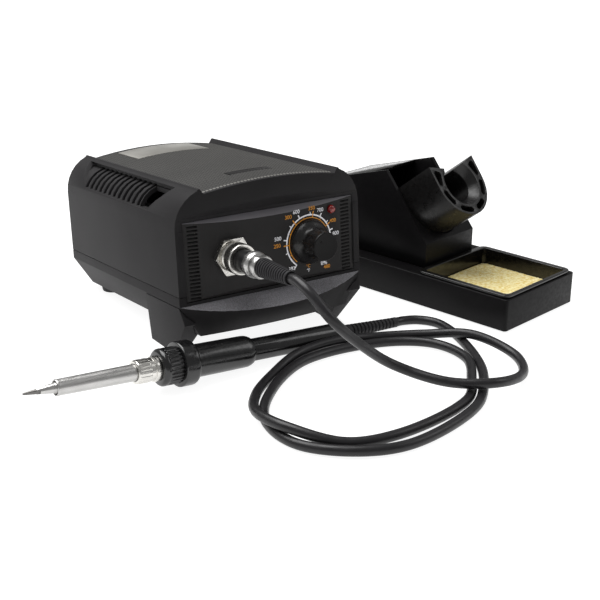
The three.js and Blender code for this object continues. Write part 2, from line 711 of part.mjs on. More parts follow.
const bitBlank = lengthwise([
  [0, 0],
  [bit.tipRadius, 0],
  [1.1, bit.facetEnd],
  [bit.radius, bit.shoulder],
  [heaterRadius, bit.shoulder + 1.4],
  [heaterRadius, bitEnd],
  [0, bitEnd],
]);
piece(iron, "bit", bitBlank, "nickel");
piece(iron, "heater_core", lengthwise(disc(heaterRadius, bitEnd + gap, heaterEnd)), "steel");
piece(iron, "heater_barrel", lengthwise([
  [heaterRadius + gap, barrel.from + 1.8],
  [heaterRadius + gap, barrel.from + 0.6],
  [barrel.radius - 0.3, barrel.from],
  [barrel.radius, barrel.from + 0.8],
  [barrel.endRadius, barrelNut.to - 2],
  [barrel.endRadius + 1.4, barrelNut.to - 2],
  [barrel.endRadius + 1.4, barrelNut.to],
  [heaterRadius + gap, barrelNut.to],
  [heaterRadius + gap, barrel.from + 1.8],
], 16), "steel");
const flutes = (count, radius, from, to, depth) => Array.from({ length: count }, (_, i) => {
  const angle = (2 * Math.PI * i) / count;
  const out = radius + 1 - depth;
  const groove = turned(disc(1, from, to), 6).rotateY(Math.PI / 2);
  return solid(groove.translate(0, out * Math.cos(angle), out * Math.sin(angle)));
});
piece(iron, "barrel_nut", cut(lengthwise([
  [barrel.endRadius + gap, barrelNut.from],
  [barrelNut.radius - 0.6, barrelNut.from],
  [barrelNut.radius, barrelNut.from + 0.8],
  [barrelNut.radius, barrelNut.from + 8],
  [5.8, barrelNut.from + 8.3],
  [5.8, barrelNut.from + 9.8],
  [barrelNut.flange, barrelNut.from + 10.2],
  [barrelNut.flange, barrelNut.to],
  [barrel.endRadius + 1.4 + gap, barrelNut.to],
  [barrel.endRadius + 1.4 + gap, barrelNut.to - 2 - gap],
  [barrel.endRadius + gap, barrelNut.to - 2 - gap],
  [barrel.endRadius + gap, barrelNut.from],
]), ...flutes(16, barrelNut.radius, barrelNut.from + 1.2, barrelNut.from + 9, 0.4)), "nickel");
piece(iron, "handle_nut", cut(lengthwise([
  [heaterRadius + gap, sleeveNut.from],
  [sleeveNut.radius - 1.2, sleeveNut.from],
  [sleeveNut.radius, sleeveNut.from + 1.5],
  [sleeveNut.radius, sleeveNut.to],
  [heaterRadius + gap, sleeveNut.to],
  [heaterRadius + gap, sleeveNut.from],
]), ...flutes(20, sleeveNut.radius, sleeveNut.from + 3.2, sleeveNut.to + 1, 0.6)), "black");
piece(iron, "front_grip", lengthwise([
  [heaterRadius + gap, grip.from],
  [grip.collarRadius - 0.7, grip.from],
  [grip.collarRadius, grip.from + 0.7],
  [grip.collarRadius, grip.collarEnd - 2.2],
  [grip.collarRadius - 1.2, grip.collarEnd - 0.5],
  [grip.radius + 0.3, grip.collarEnd],
  [grip.radius - 0.2, grip.end - 2],
  [grip.radius - 0.9, grip.end],
  [5 + gap, grip.end],
  [5 + gap, grip.from + handleFoot],
  [heaterRadius + gap, grip.from + handleFoot],
  [heaterRadius + gap, grip.from],
], 16), "grip");
piece(iron, "rear_handle", lengthwise([
  [0, grip.from + handleFoot + gap],
  [5, grip.from + handleFoot + gap],
  [5, grip.end + gap],
  [handle.radius, grip.end + gap],
  [handle.radius, handle.end - 1.5],
  [handle.radius - 1.5, handle.end],
  [0, handle.end],
], 16), "black");
const reliefProfile = [[0, relief.from], [relief.radius, relief.from], [relief.radius, relief.from + 12]];
const reliefPitch = (relief.end - relief.from - 14) / relief.slots;
for (let i = 0; i < relief.slots; i += 1) {
  const from = relief.from + 12 + i * reliefPitch;
  const radius = relief.radius + ((relief.endRadius - relief.radius) * (i + 1)) / relief.slots;
  reliefProfile.push([radius - 0.9, from], [radius - 0.9, from + reliefPitch * 0.4]);
  reliefProfile.push([radius, from + reliefPitch * 0.4], [radius, from + reliefPitch]);
}
reliefProfile.push([relief.endRadius, relief.end], [0, relief.end]);
piece(iron, "strain_relief", lengthwise(reliefProfile, 10), "rubber");

iron.rotation.set(0, Math.atan(ironDip), ironYaw, "ZYX");
iron.position.set(ironSpot.x, ironSpot.y, ironSpot.z);

// --- iron rest -------------------------------------------------------------------
// Frame: X across, Y from the near end toward the rear.

const trayBox = [tray.sideInset, rest.width - tray.sideInset, tray.inset, tray.inset + tray.depth];
const grown = ([u0, u1, v0, v1], by) => [u0 - by, u1 + by, v0 - by, v1 + by];
const [restX, restY] = [rest.width, rest.length];
const baseZ = rest.foot;
const towerMid = rest.width / 2;
const towerX = [towerMid - tower.width / 2, towerMid + tower.width / 2];
// Under the housing the base is hollow, for the tip of the parked iron
const tipWell = [towerX[0] + wall, towerX[1] - wall, tower.front + wall, tower.rear - wall];
piece(ironRest, "rest_base", cut(
  column(rounded(0, restX, 0, restY, rest.corner), baseZ, rest.height),
  column(rounded(...grown(trayBox, gap), tray.corner), baseZ + rest.floor, rest.height + 1),
  column(rounded(...tipWell, rest.corner), baseZ + rest.floor, rest.height + 1),
), "black");
for (const [name, x, y] of [
  ["rest_foot_front_left", 9, 9],
  ["rest_foot_front_right", restX - 9, 9],
  ["rest_foot_rear_left", wall / 2 + 5, restY - 8],
  ["rest_foot_rear_right", restX - wall / 2 - 5, restY - 8],
]) {
  piece(ironRest, name, solid(turned(disc(5, 0, baseZ - gap), 16).translate(x, y, 0)), "rubber");
}

const trayBottom = baseZ + rest.floor + gap;
const trayRim = [
  tray.sideInset - tray.rim,
  restX - tray.sideInset + tray.rim,
  1.2,
  tray.inset + tray.depth + 2.1,
];
piece(ironRest, "sponge_tray", cut(
  join(
    column(rounded(...trayBox, tray.corner), trayBottom, tray.rimTop),
    column(rounded(...trayRim, tray.rimCorner), rest.height + gap, tray.rimTop),
  ),
  column(rounded(...grown(trayBox, -tray.wall), 2.6), trayBottom + tray.floor, tray.rimTop + 1),
), "black");
const spongeBottom = trayBottom + tray.floor + gap;
piece(ironRest, "sponge", column(
  rounded(...grown(trayBox, -tray.wall - gap), sponge.corner),
  spongeBottom,
  spongeBottom + sponge.thickness,
), "sponge");

// Holder housing: two cheeks, a sill, a raked front and a rear wall
const towerFoot = rest.height + gap;
const lidRear = tower.browZ - (tower.rear - tower.browA) * lidDrop;
const cheek = [
  [tower.front, towerFoot],
  [tower.rear, towerFoot],
  [tower.rear, lidRear],
  [tower.browA, tower.browZ],
  [tower.front, tower.sillZ],
];
const rake = new THREE.Vector2(tower.browA - tower.front, tower.browZ - tower.sillZ).normalize();
const behind = (from, distance) => [from[0] + rake.y * distance, from[1] - rake.x * distance];
const sillTop = [tower.front, tower.sillZ];
const browTop = [tower.browA, tower.browZ];
const towerInside = [
  [tower.front + wall, towerFoot - 1],
  [tower.rear - wall, towerFoot - 1],
  [tower.rear - wall, lidRear + 40],
  [behind(browTop, wall)[0] + rake.x * 20, behind(browTop, wall)[1] + rake.y * 20],
  behind(sillTop, wall + 0.01),
  [tower.front + wall, tower.sillZ - 2],
];
const holderAngle = THREE.MathUtils.degToRad(holder.rise);
// U-holder shapes are drawn across its axis and then laid along it, mouth first
function alongHolder(geometry) {
  geometry.rotateX(Math.PI / 2).rotateX(-holderAngle);
  return solid(geometry.translate(towerMid, holder.a, holder.z));
}
function horseshoe(radius, leg, valley = 0) {
  return [...arc(0, 0, radius, 180, 360, 16), [radius, leg], [0, leg - valley], [-radius, leg]];
}
const across = (points, from, to) => alongHolder(extrude(points, to - from).translate(0, 0, -to));
const holderPath = across(horseshoe(holder.radius + gap, holder.leg + 40), -1, holder.length + 3);
const towerShell = cut(
  alongX(cheek, towerX[0], towerX[1]),
  alongX(towerInside, towerX[0] + wall, towerX[1] - wall),
  holderPath,
);
piece(ironRest, "holder_housing", towerShell, "black");

// Lid dropped between the cheeks, sloping to the rear
const lidFront = tower.browA + 14;
const lidAt = (y, drop) => [y, tower.browZ - (y - tower.browA) * lidDrop - drop];
piece(ironRest, "housing_lid", alongX([
  lidAt(lidFront, 2.4),
  lidAt(tower.rear - wall - gap, 2.4),
  lidAt(tower.rear - wall - gap, 0),
  lidAt(lidFront, 0),
], towerX[0] + wall + gap, towerX[1] - wall - gap), "black");

// Holder: a deep horseshoe, bored through and open along its top, with rounded pockets in its rim
const facing = (profile) => alongHolder(turned(profile, 28).rotateX(Math.PI));
const flare = facing([
  [0, -1],
  [holderBore.mouth, -1],
  [holderBore.mouth, 0],
  [holderBore.radius, holderBore.flare],
  [0, holderBore.flare],
]);
const openTop = [
  [-holderBore.slot, 0],
  [holderBore.slot, 0],
  [holderBore.slot, holder.leg],
  [-holderBore.slot, holder.leg],
];
function rimPocket(from, to) {
  const outer = arc(0, 0, holderPocket.outer, from + 3, to - 3, 4);
  const inner = arc(0, 0, holderPocket.inner, from + 4, to - 4, 4).reverse();
  const [near, far] = arc(0, 0, (holderPocket.inner + holderPocket.outer) / 2, from, to, 1);
  return across([...outer, far, ...inner, near], -1, holderPocket.depth);
}
const legPocket = [
  [17.3, 1.8],
  [18.6, 1.3],
  [20.2, 2.6],
  [20.2, 10.4],
  [19, 11.9],
  [17.6, 12],
  [14.4, 10],
  [14.5, 8.8],
];
piece(ironRest, "iron_holder", cut(
  across(horseshoe(holder.radius - gap / 2, holder.leg, holder.valley), 0, holder.length),
  flare,
  facing(disc(holderBore.radius, -1, holder.length + 1)),
  across(openTop, -1, holder.length + 1),
  rimPocket(184, 220),
  rimPocket(231, 268),
  rimPocket(278, 311),
  rimPocket(321, 356),
  across(legPocket, -1, holderPocket.depth),
  across(legPocket.map(([u, v]) => [-u, v]), -1, holderPocket.depth),
), "grip");

ironRest.rotation.z = restYaw;
ironRest.position.set(restSpot.x, restSpot.y, 0);

// --- the set on the bench ------------------------------------------------------
// Its footprint, without the free cord and the plug, is centred on the origin.

const footprint = new THREE.Box3();
layout.updateMatrixWorld(true);
layout.traverse((node) => {
  if (node.isMesh && !node.name.startsWith("plug_")) footprint.expandByObject(node);
});
const middle = footprint.getCenter(new THREE.Vector3());
layout.position.set(-middle.x, -middle.y, 0);

// --- cord -----------------------------------------------------------------------
// It leaves the plug, drops to the bench, makes a small and two wide loops and ends at the iron.

const cordRoute = [
  [-28, -57.74, 64.45], [-28, -63.5, 64.7], [-27, -74.2, 61], [-20.8, -83.6, 49.4],
  [-4.3, -84, 33.4], [19.6, -84.3, 15.3], [38.9, -105.7, 9.2], [61.4, -119.2, 8.7],
  [90.3, -107.7, 3.4], [101.8, -87.3, 4.3], [93.5, -60.8, 8.6], [75.5, -39.9, 5.4],
  [51.3, -26.4, 4.2], [22.5, -24, 6.9], [-3.7, -26.8, 5.9], [-26.8, -37.8, 2.9],
  [-48, -56, 3.7], [-62.4, -81, 7.2], [-59.6, -105.6, 8.5], [-40.5, -125, 3.9],
  [-12.9, -130.6, 3.1], [41.7, -118, 2.8], [61.6, -98.5, 2.9], [76.7, -75.6, 3.6],
  [74.2, -50.6, 3.6], [52.7, -33, 2.9], [-2.1, -32.1, 3.6], [-45.8, -62.9, 2.9],
  [-60.1, -87.5, 2.9], [-59.1, -113.5, 2.9], [-40.4, -134.3, 3.4], [-13.7, -141.8, 2.9],
  [39.5, -127.1, 2.8], [62.1, -107.9, 2.8], [79.5, -83.9, 2.8], [95.8, -41, 2.8],
  [96.6, -24, 2.8], [90, -15, 2.85], [82, -11.8, 2.95], [76.65, -11.61, 3.11],
];
const cordLine = new THREE.CatmullRomCurve3(cordRoute.map((point) => new THREE.Vector3(...point)));
const cordSection = outline(arc(0, 0, cordRadius, 0, 360 - 360 / cordSides, cordSides - 1));
const cordTube = new THREE.ExtrudeGeometry(cordSection, { steps: cordSteps, extrudePath: cordLine });
piece(layout, "cord", solid(cordTube), "cord");

export default layout;
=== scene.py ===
import bpy
import json
import math
from mathutils import Matrix, Vector, noise


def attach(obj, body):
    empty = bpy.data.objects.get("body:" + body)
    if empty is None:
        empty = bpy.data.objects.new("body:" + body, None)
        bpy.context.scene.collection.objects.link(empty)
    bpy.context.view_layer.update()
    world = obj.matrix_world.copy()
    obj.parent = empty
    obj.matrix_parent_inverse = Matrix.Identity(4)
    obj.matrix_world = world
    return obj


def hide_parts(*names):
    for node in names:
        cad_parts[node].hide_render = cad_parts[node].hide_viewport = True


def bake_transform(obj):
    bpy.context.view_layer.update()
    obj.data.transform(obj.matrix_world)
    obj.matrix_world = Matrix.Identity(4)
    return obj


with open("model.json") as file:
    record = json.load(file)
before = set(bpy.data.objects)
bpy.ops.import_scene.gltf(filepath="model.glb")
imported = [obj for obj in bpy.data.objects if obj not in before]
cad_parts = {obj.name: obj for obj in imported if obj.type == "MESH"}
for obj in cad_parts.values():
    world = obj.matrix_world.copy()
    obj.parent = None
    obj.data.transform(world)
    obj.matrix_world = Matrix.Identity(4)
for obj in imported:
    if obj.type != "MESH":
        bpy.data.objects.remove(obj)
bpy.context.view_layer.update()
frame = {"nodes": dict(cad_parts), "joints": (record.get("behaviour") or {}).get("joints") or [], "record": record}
joints = {joint["name"]: joint for joint in frame["joints"]}
scene = bpy.context.scene
print("frame loaded", len(frame["nodes"]), "nodes")

# frames: each unit is modelled in millimetres in its own frame, then placed


def jointPoint(name):
    return Vector(joints[name]["pos_m"])


def jointAxis(name):
    return Vector(joints[name]["axis"])


def turnAbout(axis, degrees):
    return Matrix.Rotation(math.radians(degrees), 4, axis)


millimetre = Matrix.Scale(0.001, 4)
dialAxis = jointAxis("knob_turn")
unitTilt = math.degrees(math.atan2(dialAxis.z, -dialAxis.y))
# where each unit's joint lies in the unit's own frame, and how far the rest is turned on the bench
dialSpot = Vector((23.5, -10, 42.5))
barrelNutSpot = Vector((0, 0, 68))
restSpot = Vector((36.6, 82.5, 1))
restTurn = 13.713
unitFrame = (
    Matrix.Translation(jointPoint("knob_turn"))
    @ turnAbout("X", -unitTilt)
    @ millimetre
    @ Matrix.Translation(-dialSpot)
)
ironLine = jointAxis("barrel_nut_turn")
ironFrame = (
    Matrix.Translation(jointPoint("barrel_nut_turn"))
    @ turnAbout("Z", math.degrees(math.atan2(ironLine.y, ironLine.x)))
    @ turnAbout("Y", 90 - math.degrees(math.asin(ironLine.z)))
    @ millimetre
    @ Matrix.Translation(-barrelNutSpot)
)
restFrame = (
    Matrix.Translation(jointPoint("iron_rest_lift"))
    @ turnAbout("Z", restTurn)
    @ millimetre
    @ Matrix.Translation(-restSpot)
)


def outOfPanel(x, z):
    # height runs outward from the panel
    return unitFrame @ Matrix.Translation((x, 0, z)) @ turnAbout("X", 90)


def benchPoint(x, y, z):
    # bench coordinates as laid out, in millimetres, before the footprint was centred
    return Vector((x, y, z)) / 1000 + benchShift


# where the dial's joint stood as laid out
dialOnBench = Vector((23.5, -3.599, 59.133)) / 1000
benchShift = jointPoint("knob_turn") - dialOnBench
benchShift.z = 0


def linked(name, data):
    # a new object in the scene
    piece = bpy.data.objects.new(name, data)
    scene.collection.objects.link(piece)
    return piece


# camera

cameraSettings = {
    "place": (-350.38, -559.48, 277.93),
    "heading": 33.163, "down": 20.690, "roll": 0.6085,
    "lens": 74.64, "sensor": 36, "clipStart": 0.01,
}
cameraData = bpy.data.cameras.new("camera")
camera = linked("camera", cameraData)
cameraData.sensor_width = cameraSettings["sensor"]
cameraData.lens = cameraSettings["lens"]
cameraData.clip_start = cameraSettings["clipStart"]
camera.matrix_world = (
    Matrix.Translation(benchPoint(*cameraSettings["place"]))
    @ turnAbout("Z", -cameraSettings["heading"])
    @ turnAbout("X", 90 - cameraSettings["down"])
    @ turnAbout("Z", cameraSettings["roll"])
)
scene.camera = camera
print("camera placed")

# modelling helpers


def selectNothing():
    bpy.ops.object.select_all(action="DESELECT")


def alone(piece):
    selectNothing()
    piece.select_set(True)
    bpy.context.view_layer.objects.active = piece


def editing(piece):
    alone(piece)
    bpy.ops.object.mode_set(mode="EDIT")
    bpy.ops.mesh.select_all(action="SELECT")


def doneEditing():
    bpy.ops.object.mode_set(mode="OBJECT")


def extruded(height):
    bpy.ops.mesh.extrude_region_move(TRANSFORM_OT_translate={"value": (0, 0, height)})


def facingOut():
    bpy.ops.mesh.normals_make_consistent(inside=False)


def tidied(piece, distance=0.001):
    editing(piece)
    bpy.ops.mesh.remove_doubles(threshold=distance)
    facingOut()
    doneEditing()
    return piece


def applied(piece, modifier):
    alone(piece)
    bpy.ops.object.modifier_apply(modifier=modifier.name)
    return piece


def turned(name, profile, sides=64, ring=False):
    # a circle is extruded and scaled from point to point of [radius, height]
    selectNothing()
    radius, height = profile[0]
    fill = "NOTHING" if ring else "NGON"
    bpy.ops.mesh.primitive_circle_add(vertices=sides, radius=radius, fill_type=fill)
    piece = bpy.context.object
    piece.name = name
    editing(piece)
    bpy.ops.transform.translate(value=(0, 0, height))
    for nextRadius, nextHeight in profile[1:]:
        extruded(nextHeight - height)
        scale = nextRadius / radius
        if abs(scale - 1) > 1e-6:
            bpy.ops.transform.resize(value=(scale, scale, 1), center_override=(0, 0, nextHeight))
        radius, height = nextRadius, nextHeight
    doneEditing()
    return tidied(piece)


def raised(foot, profile):
    # a profile whose heights are measured from a foot
    return [(radius, foot + height) for radius, height in profile]


def plate(name, outline, low, high):
    # an outline in x and y, standing from low to high
    selectNothing()
    bpy.ops.mesh.primitive_circle_add(vertices=len(outline), radius=1, fill_type="NGON")
    piece = bpy.context.object
    piece.name = name
    for vertex, (x, y) in zip(piece.data.vertices, outline):
        vertex.co = (x, y, low)
    editing(piece)
    extruded(high - low)
    facingOut()
    doneEditing()
    return piece


def block(name, low, high):
    (x0, y0, z0), (x1, y1, z1) = low, high
    return plate(name, [(x0, y0), (x1, y0), (x1, y1), (x0, y1)], z0, z1)


def roundedOutline(x0, x1, y0, y1, radius, steps=8):
    points = []
    centres = [
        (x1 - radius, y1 - radius), (x0 + radius, y1 - radius),
        (x0 + radius, y0 + radius), (x1 - radius, y0 + radius),
    ]
    for quarter, (x, y) in enumerate(centres):
        for step in range(steps + 1):
            angle = (quarter + step / steps) * math.pi / 2
            points.append((x + radius * math.cos(angle), y + radius * math.sin(angle)))
    return points


def bevelled(piece, width, segments=2, angle=30):
    modifier = piece.modifiers.new("bevel", "BEVEL")
    modifier.width = width
    modifier.segments = segments
    modifier.limit_method = "ANGLE"
    modifier.angle_limit = math.radians(angle)
    modifier.use_clamp_overlap = True
    return applied(piece, modifier)


def combined(piece, tool, operation="DIFFERENCE"):
    modifier = piece.modifiers.new("cut", "BOOLEAN")
    modifier.operation = operation
    modifier.solver = "EXACT"
    modifier.object = tool
    applied(piece, modifier)
    bpy.data.objects.remove(tool)


def joined(name, pieces):
    alone(pieces[0])
    for piece in pieces[1:]:
        piece.select_set(True)
    if len(pieces) > 1:
        bpy.ops.object.join()
    whole = bpy.context.object
    whole.name = name
    return whole


def placed(piece, place):
    alone(piece)
    piece.matrix_world = place @ piece.matrix_world
    bpy.ops.object.transform_apply(location=True, rotation=True, scale=True)
    return piece


shellCleaning = {"merge": 0.00002, "flatAngle": 1}


def refined(node, name, width, segments=2, angle=30):
    # the construction's own shell with its edges eased by a width in millimetres
    piece = linked(name, frame["nodes"][node].data.copy())
    piece.data.materials.clear()
    editing(piece)
    bpy.ops.mesh.remove_doubles(threshold=shellCleaning["merge"])
    bpy.ops.mesh.dissolve_limited(angle_limit=math.radians(shellCleaning["flatAngle"]))
    doneEditing()
    if width:
        bevelled(piece, width / 1000, segments, angle)
    return piece


def finished(piece, body, slot, nodes=(), smooth=35, material=None):
    piece.data.materials.clear()
    piece.data.materials.append(materials[material or slot])
    alone(piece)
    if smooth:
        bpy.ops.object.shade_smooth_by_angle(angle=math.radians(smooth))
    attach(piece, body)
    if nodes:
        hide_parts(*nodes)


def eased(node, name, width, body, slot, look=None, segments=2):
    # a shell that needs only easing and a finish
    finished(refined(node, name, width, segments), body, slot, [node], 35, look)


# materials


def paint(red, green, blue):
    # a colour as seen on screen, 0 to 255
    def linear(value):
        value /= 255
        return value / 12.92 if value <= 0.04045 else ((value + 0.055) / 1.055) ** 2.4

    return (linear(red), linear(green), linear(blue), 1)


class Finish:
    def __init__(self, name):
        self.material = bpy.data.materials.new(name)
        self.material.use_nodes = True
        self.nodes = self.material.node_tree.nodes
        self.links = self.material.node_tree.links
        self.shader = self.nodes["Principled BSDF"]
        self.place = self.nodes.new("ShaderNodeTexCoord").outputs["Object"]

    def add(self, kind, **values):
        node = self.nodes.new(kind)
        for key, value in values.items():
            if key in node.inputs:
                node.inputs[key].default_value = value
            else:
                setattr(node, key, value)
        return node

    def stretched(self, x, y, z):
        mapping = self.add("ShaderNodeMapping")
        mapping.inputs["Scale"].default_value = (x, y, z)
        self.links.new(self.place, mapping.inputs["Vector"])
        return mapping.outputs["Vector"]

    def noise(self, size, detail=3, where=None, roughness=0.5):
        # sizes are in millimetres, for cells and for the depth of a bump too
        node = self.add("ShaderNodeTexNoise", Scale=1000 / size, Detail=detail, Roughness=roughness)
        self.links.new(where or self.place, node.inputs["Vector"])
        return node.outputs["Fac"]

    def cells(self, size):
        node = self.add("ShaderNodeTexVoronoi", Scale=1000 / size)
        self.links.new(self.place, node.inputs["Vector"])
        return node.outputs["Distance"]

    def ramp(self, source, low, high, lowColour, highColour):
        node = self.add("ShaderNodeValToRGB")
        node.color_ramp.elements[0].position = low
        node.color_ramp.elements[1].position = high
        node.color_ramp.elements[0].color = lowColour
        node.color_ramp.elements[1].color = highColour
        self.links.new(source, node.inputs["Fac"])
        return node.outputs["Color"]

    def level(self, source, low, high, start=0.3, end=0.7):
        node = self.add("ShaderNodeMapRange", clamp=True)
        node.inputs["From Min"].default_value = start
        node.inputs["From Max"].default_value = end
        node.inputs["To Min"].default_value = low
        node.inputs["To Max"].default_value = high
        self.links.new(source, node.inputs["Value"])
        return node.outputs["Result"]

    def mixed(self, factor, first, second):
        node = self.add("ShaderNodeMix", data_type="RGBA")
        wanted = (("Factor", "VALUE", factor), ("A", "RGBA", first), ("B", "RGBA", second))
        for name, kind, value in wanted:
            socket = next(s for s in node.inputs if s.name == name and s.type == kind)
            if hasattr(value, "is_output"):
                self.links.new(value, socket)
            else:
                socket.default_value = value
        return next(s for s in node.outputs if s.type == "RGBA")

    def bump(self, source, depth, after=None):
        node = self.add("ShaderNodeBump", Strength=1.0, Distance=depth / 1000)
        self.links.new(source, node.inputs["Height"])
        if after:
            self.links.new(after, node.inputs["Normal"])
        self.links.new(node.outputs["Normal"], self.shader.inputs["Normal"])
        return node.outputs["Normal"]

    def feed(self, socket, source):
        if hasattr(source, "is_output"):
            self.links.new(source, self.shader.inputs[socket])
        else:
            self.shader.inputs[socket].default_value = source


def darker(colour, factor):
    return (colour[0] * factor, colour[1] * factor, colour[2] * factor, 1)


def mouldedPlastic(name, colour, roughness, shine, grain, depth, mottle=0.1, dust=0.0):
    finish = Finish(name)
    base = paint(*colour)
    cloud = finish.noise(size=28, detail=4)
    fine = finish.noise(size=grain, detail=2)
    tone = finish.ramp(cloud, 0.3, 0.7, darker(base, 1 - mottle), darker(base, 1 + mottle))
    if dust:
        speck = finish.ramp(finish.cells(size=2.4), 0.03, 0.07, (1, 1, 1, 1), (0, 0, 0, 1))
        tone = finish.mixed(finish.level(speck, 0, dust, start=0, end=1), tone, paint(190, 188, 182))
    finish.feed("Base Color", tone)
    finish.feed("Roughness", finish.level(fine, roughness - 0.06, roughness + 0.08))
    finish.feed("Specular IOR Level", shine)
    first = finish.bump(fine, depth)
    finish.bump(finish.noise(size=9, detail=2), depth * 1.5, first)
    return finish.material


def ribbedPlastic(name, colour):
    # painted shade: dark and rough where the groove mark is 1, down in the grooves; painted highlight: light where
    # it is -1 on the ribs' front ends
    finish = Finish(name)
    base = paint(*colour)
    depthMark = finish.add("ShaderNodeAttribute", attribute_name="groove").outputs["Fac"]
    cloud = finish.noise(size=30, detail=4)
    tone = finish.ramp(cloud, 0.3, 0.7, darker(base, 0.92), darker(base, 1.1))
    # painted shade: the grooves are darkened to near black
    tone = finish.mixed(finish.level(depthMark, 0, 0.92, start=0.3, end=0.75), tone, paint(7, 7, 7))
    # painted highlight: the ribs' front ends are lightened
    ends = finish.level(depthMark, 0.8, 0, start=-1, end=0)
    tone = finish.mixed(ends, tone, paint(124, 122, 118))
    finish.feed("Base Color", tone)
    finish.feed("Roughness", finish.level(depthMark, 0.5, 0.85, start=0, end=1))
    finish.feed("Specular IOR Level", 0.3)
    finish.bump(finish.noise(size=0.35, detail=2), 0.015)
    return finish.material


def turnedMetal(name, colour, roughness, streak=(60, 60, 2500)):
    # streak is how closely the fine lines are packed along the bench's x, y and z
    finish = Finish(name)
    base = paint(*colour)
    lines = finish.noise(size=1000, detail=3, where=finish.stretched(*streak))
    cloud = finish.noise(size=6, detail=3)
    finish.feed("Base Color", finish.ramp(cloud, 0.3, 0.75, darker(base, 0.88), base))
    finish.feed("Metallic", 1.0)
    finish.feed("Roughness", finish.level(lines, roughness - 0.05, roughness + 0.1))
    finish.bump(lines, 0.004)
    return finish.material


def spongeFoam(name):
    finish = Finish(name)
    patches = finish.noise(size=2.2, detail=4)
    pores = finish.cells(size=1.1)
    tone = finish.ramp(patches, 0.36, 0.62, paint(228, 202, 120), paint(250, 240, 190))
    # painted shade: the foam is darkened to a brown yellow down in its pores
    tone = finish.mixed(finish.level(pores, 0.35, 0, start=0.05, end=0.3), tone, paint(176, 140, 58))
    finish.feed("Base Color", tone)
    finish.feed("Roughness", 0.95)
    finish.feed("Specular IOR Level", 0.15)
    first = finish.bump(pores, 0.35)
    finish.bump(finish.noise(size=0.5, detail=3), 0.2, first)
    return finish.material


def grainyLedge(name, colour):
    # the spark-eroded grain of the ledge under the panel, on a light grey base tone that is painted light falling
    # on the upward-facing ledge
    finish = Finish(name)
    base = paint(*colour)
    fine = finish.noise(size=0.55, detail=3, roughness=0.7)
    tone = finish.ramp(fine, 0.38, 0.64, darker(base, 0.55), darker(base, 1.5))
    finish.feed("Base Color", tone)
    finish.feed("Roughness", 0.6)
    finish.bump(fine, 0.12)
    return finish.material


def lensPlastic(name):
    finish = Finish(name)
    cloud = finish.noise(size=1.6, detail=2)
    finish.feed("Base Color", finish.ramp(cloud, 0.3, 0.7, paint(96, 8, 8), paint(150, 26, 22)))
    finish.feed("Roughness", 0.12)
    finish.feed("Coat Weight", 0.6)
    finish.feed("Coat Roughness", 0.05)
    finish.bump(finish.noise(size=3, detail=2), 0.02)
    return finish.material


def cordJacket(name, colour):
    finish = Finish(name)
    base = paint(*colour)
    cloud = finish.noise(size=14, detail=3)
    finish.feed("Base Color", finish.ramp(cloud, 0.3, 0.7, darker(base, 0.85), darker(base, 1.2)))
    finish.feed("Roughness", finish.level(finish.noise(size=5, detail=3), 0.3, 0.44))
    finish.feed("Specular IOR Level", 0.38)
    first = finish.bump(finish.noise(size=0.3, detail=2), 0.01)
    finish.bump(finish.noise(size=4, detail=2), 0.03, first)
    return finish.material


def inkFilm(name, colour):
    finish = Finish(name)
    base = paint(*colour)
    worn = finish.noise(size=0.6, detail=3)
    finish.feed("Base Color", finish.ramp(worn, 0.25, 0.45, darker(base, 0.7), base))
    finish.feed("Roughness", 0.55)
    finish.bump(worn, 0.01)
    return finish.material


def silverFilm(name):
    finish = Finish(name)
    across = finish.noise(size=1000, detail=3, where=finish.stretched(20, 1800, 20))
    wide = finish.noise(size=40, detail=2)
    finish.feed("Base Color", finish.ramp(wide, 0.3, 0.7, paint(138, 136, 130), paint(192, 190, 184)))
    finish.feed("Metallic", 0.75)
    finish.feed("Roughness", finish.level(across, 0.32, 0.5))
    finish.bump(across, 0.01)
    return finish.material


plastics = {
    "shell_grey": {
        "colour": (43, 42, 43), "roughness": 0.6, "shine": 0.12, "grain": 0.3, "depth": 0.018,
    },
    # painted shade: a darker copy of the shell grey for the forward-facing faces, which get little light; its
    # smoother grain is real
    "shell_front_painted_shade": {
        "colour": (34, 33, 34), "roughness": 0.5, "shine": 0.12, "grain": 0.3, "depth": 0.012,
    },
    "black_plastic": {
        "colour": (20, 20, 20), "roughness": 0.36, "shine": 0.4, "grain": 0.3, "depth": 0.012,
    },
    "knob_black": {
        "colour": (15, 14, 14), "roughness": 0.3, "shine": 0.5, "grain": 2, "depth": 0.002,
    },
    "knob_disc": {
        "colour": (20, 19, 19), "roughness": 0.45, "shine": 0.15, "grain": 0.5, "depth": 0.005,
    },
    "holder_black": {
        "colour": (14, 13, 13), "roughness": 0.32, "shine": 0.4, "grain": 2.5, "depth": 0.0015,
    },
    "panel_black": {
        "colour": (45, 44, 44), "roughness": 0.55, "shine": 0.12, "grain": 0.4, "depth": 0.016,
    },
    # painted light: a much lighter grey copy of the panel plastic for its upward-facing top bevel, standing in for
    # the light it catches from above
    "panel_bevel_painted_light": {
        "colour": (112, 110, 114), "roughness": 0.5, "shine": 0.3, "grain": 0.4, "depth": 0.016,
    },
    "rest_black": {
        "colour": (14, 13, 14), "roughness": 0.42, "shine": 0.12,
        "grain": 2, "depth": 0.003, "mottle": 0.15, "dust": 0.05,
    },
    "gloss_black": {
        "colour": (15, 14, 13), "roughness": 0.16, "shine": 0.6,
        "grain": 3, "depth": 0.003, "mottle": 0.15, "dust": 0.1,
    },
    "handle_black": {
        "colour": (15, 15, 16), "roughness": 0.2, "shine": 0.65, "grain": 3, "depth": 0.0015,
    },
    "rubber_black": {
        "colour": (40, 39, 41), "roughness": 0.6, "shine": 0.3, "grain": 0.25, "depth": 0.02,
    },
    "board_green": {
        "colour": (40, 92, 50), "roughness": 0.5, "shine": 0.4, "grain": 0.5, "depth": 0.02,
    },
    "coil_tape": {
        "colour": (186, 140, 52), "roughness": 0.5, "shine": 0.4, "grain": 0.5, "depth": 0.03,
    },
}
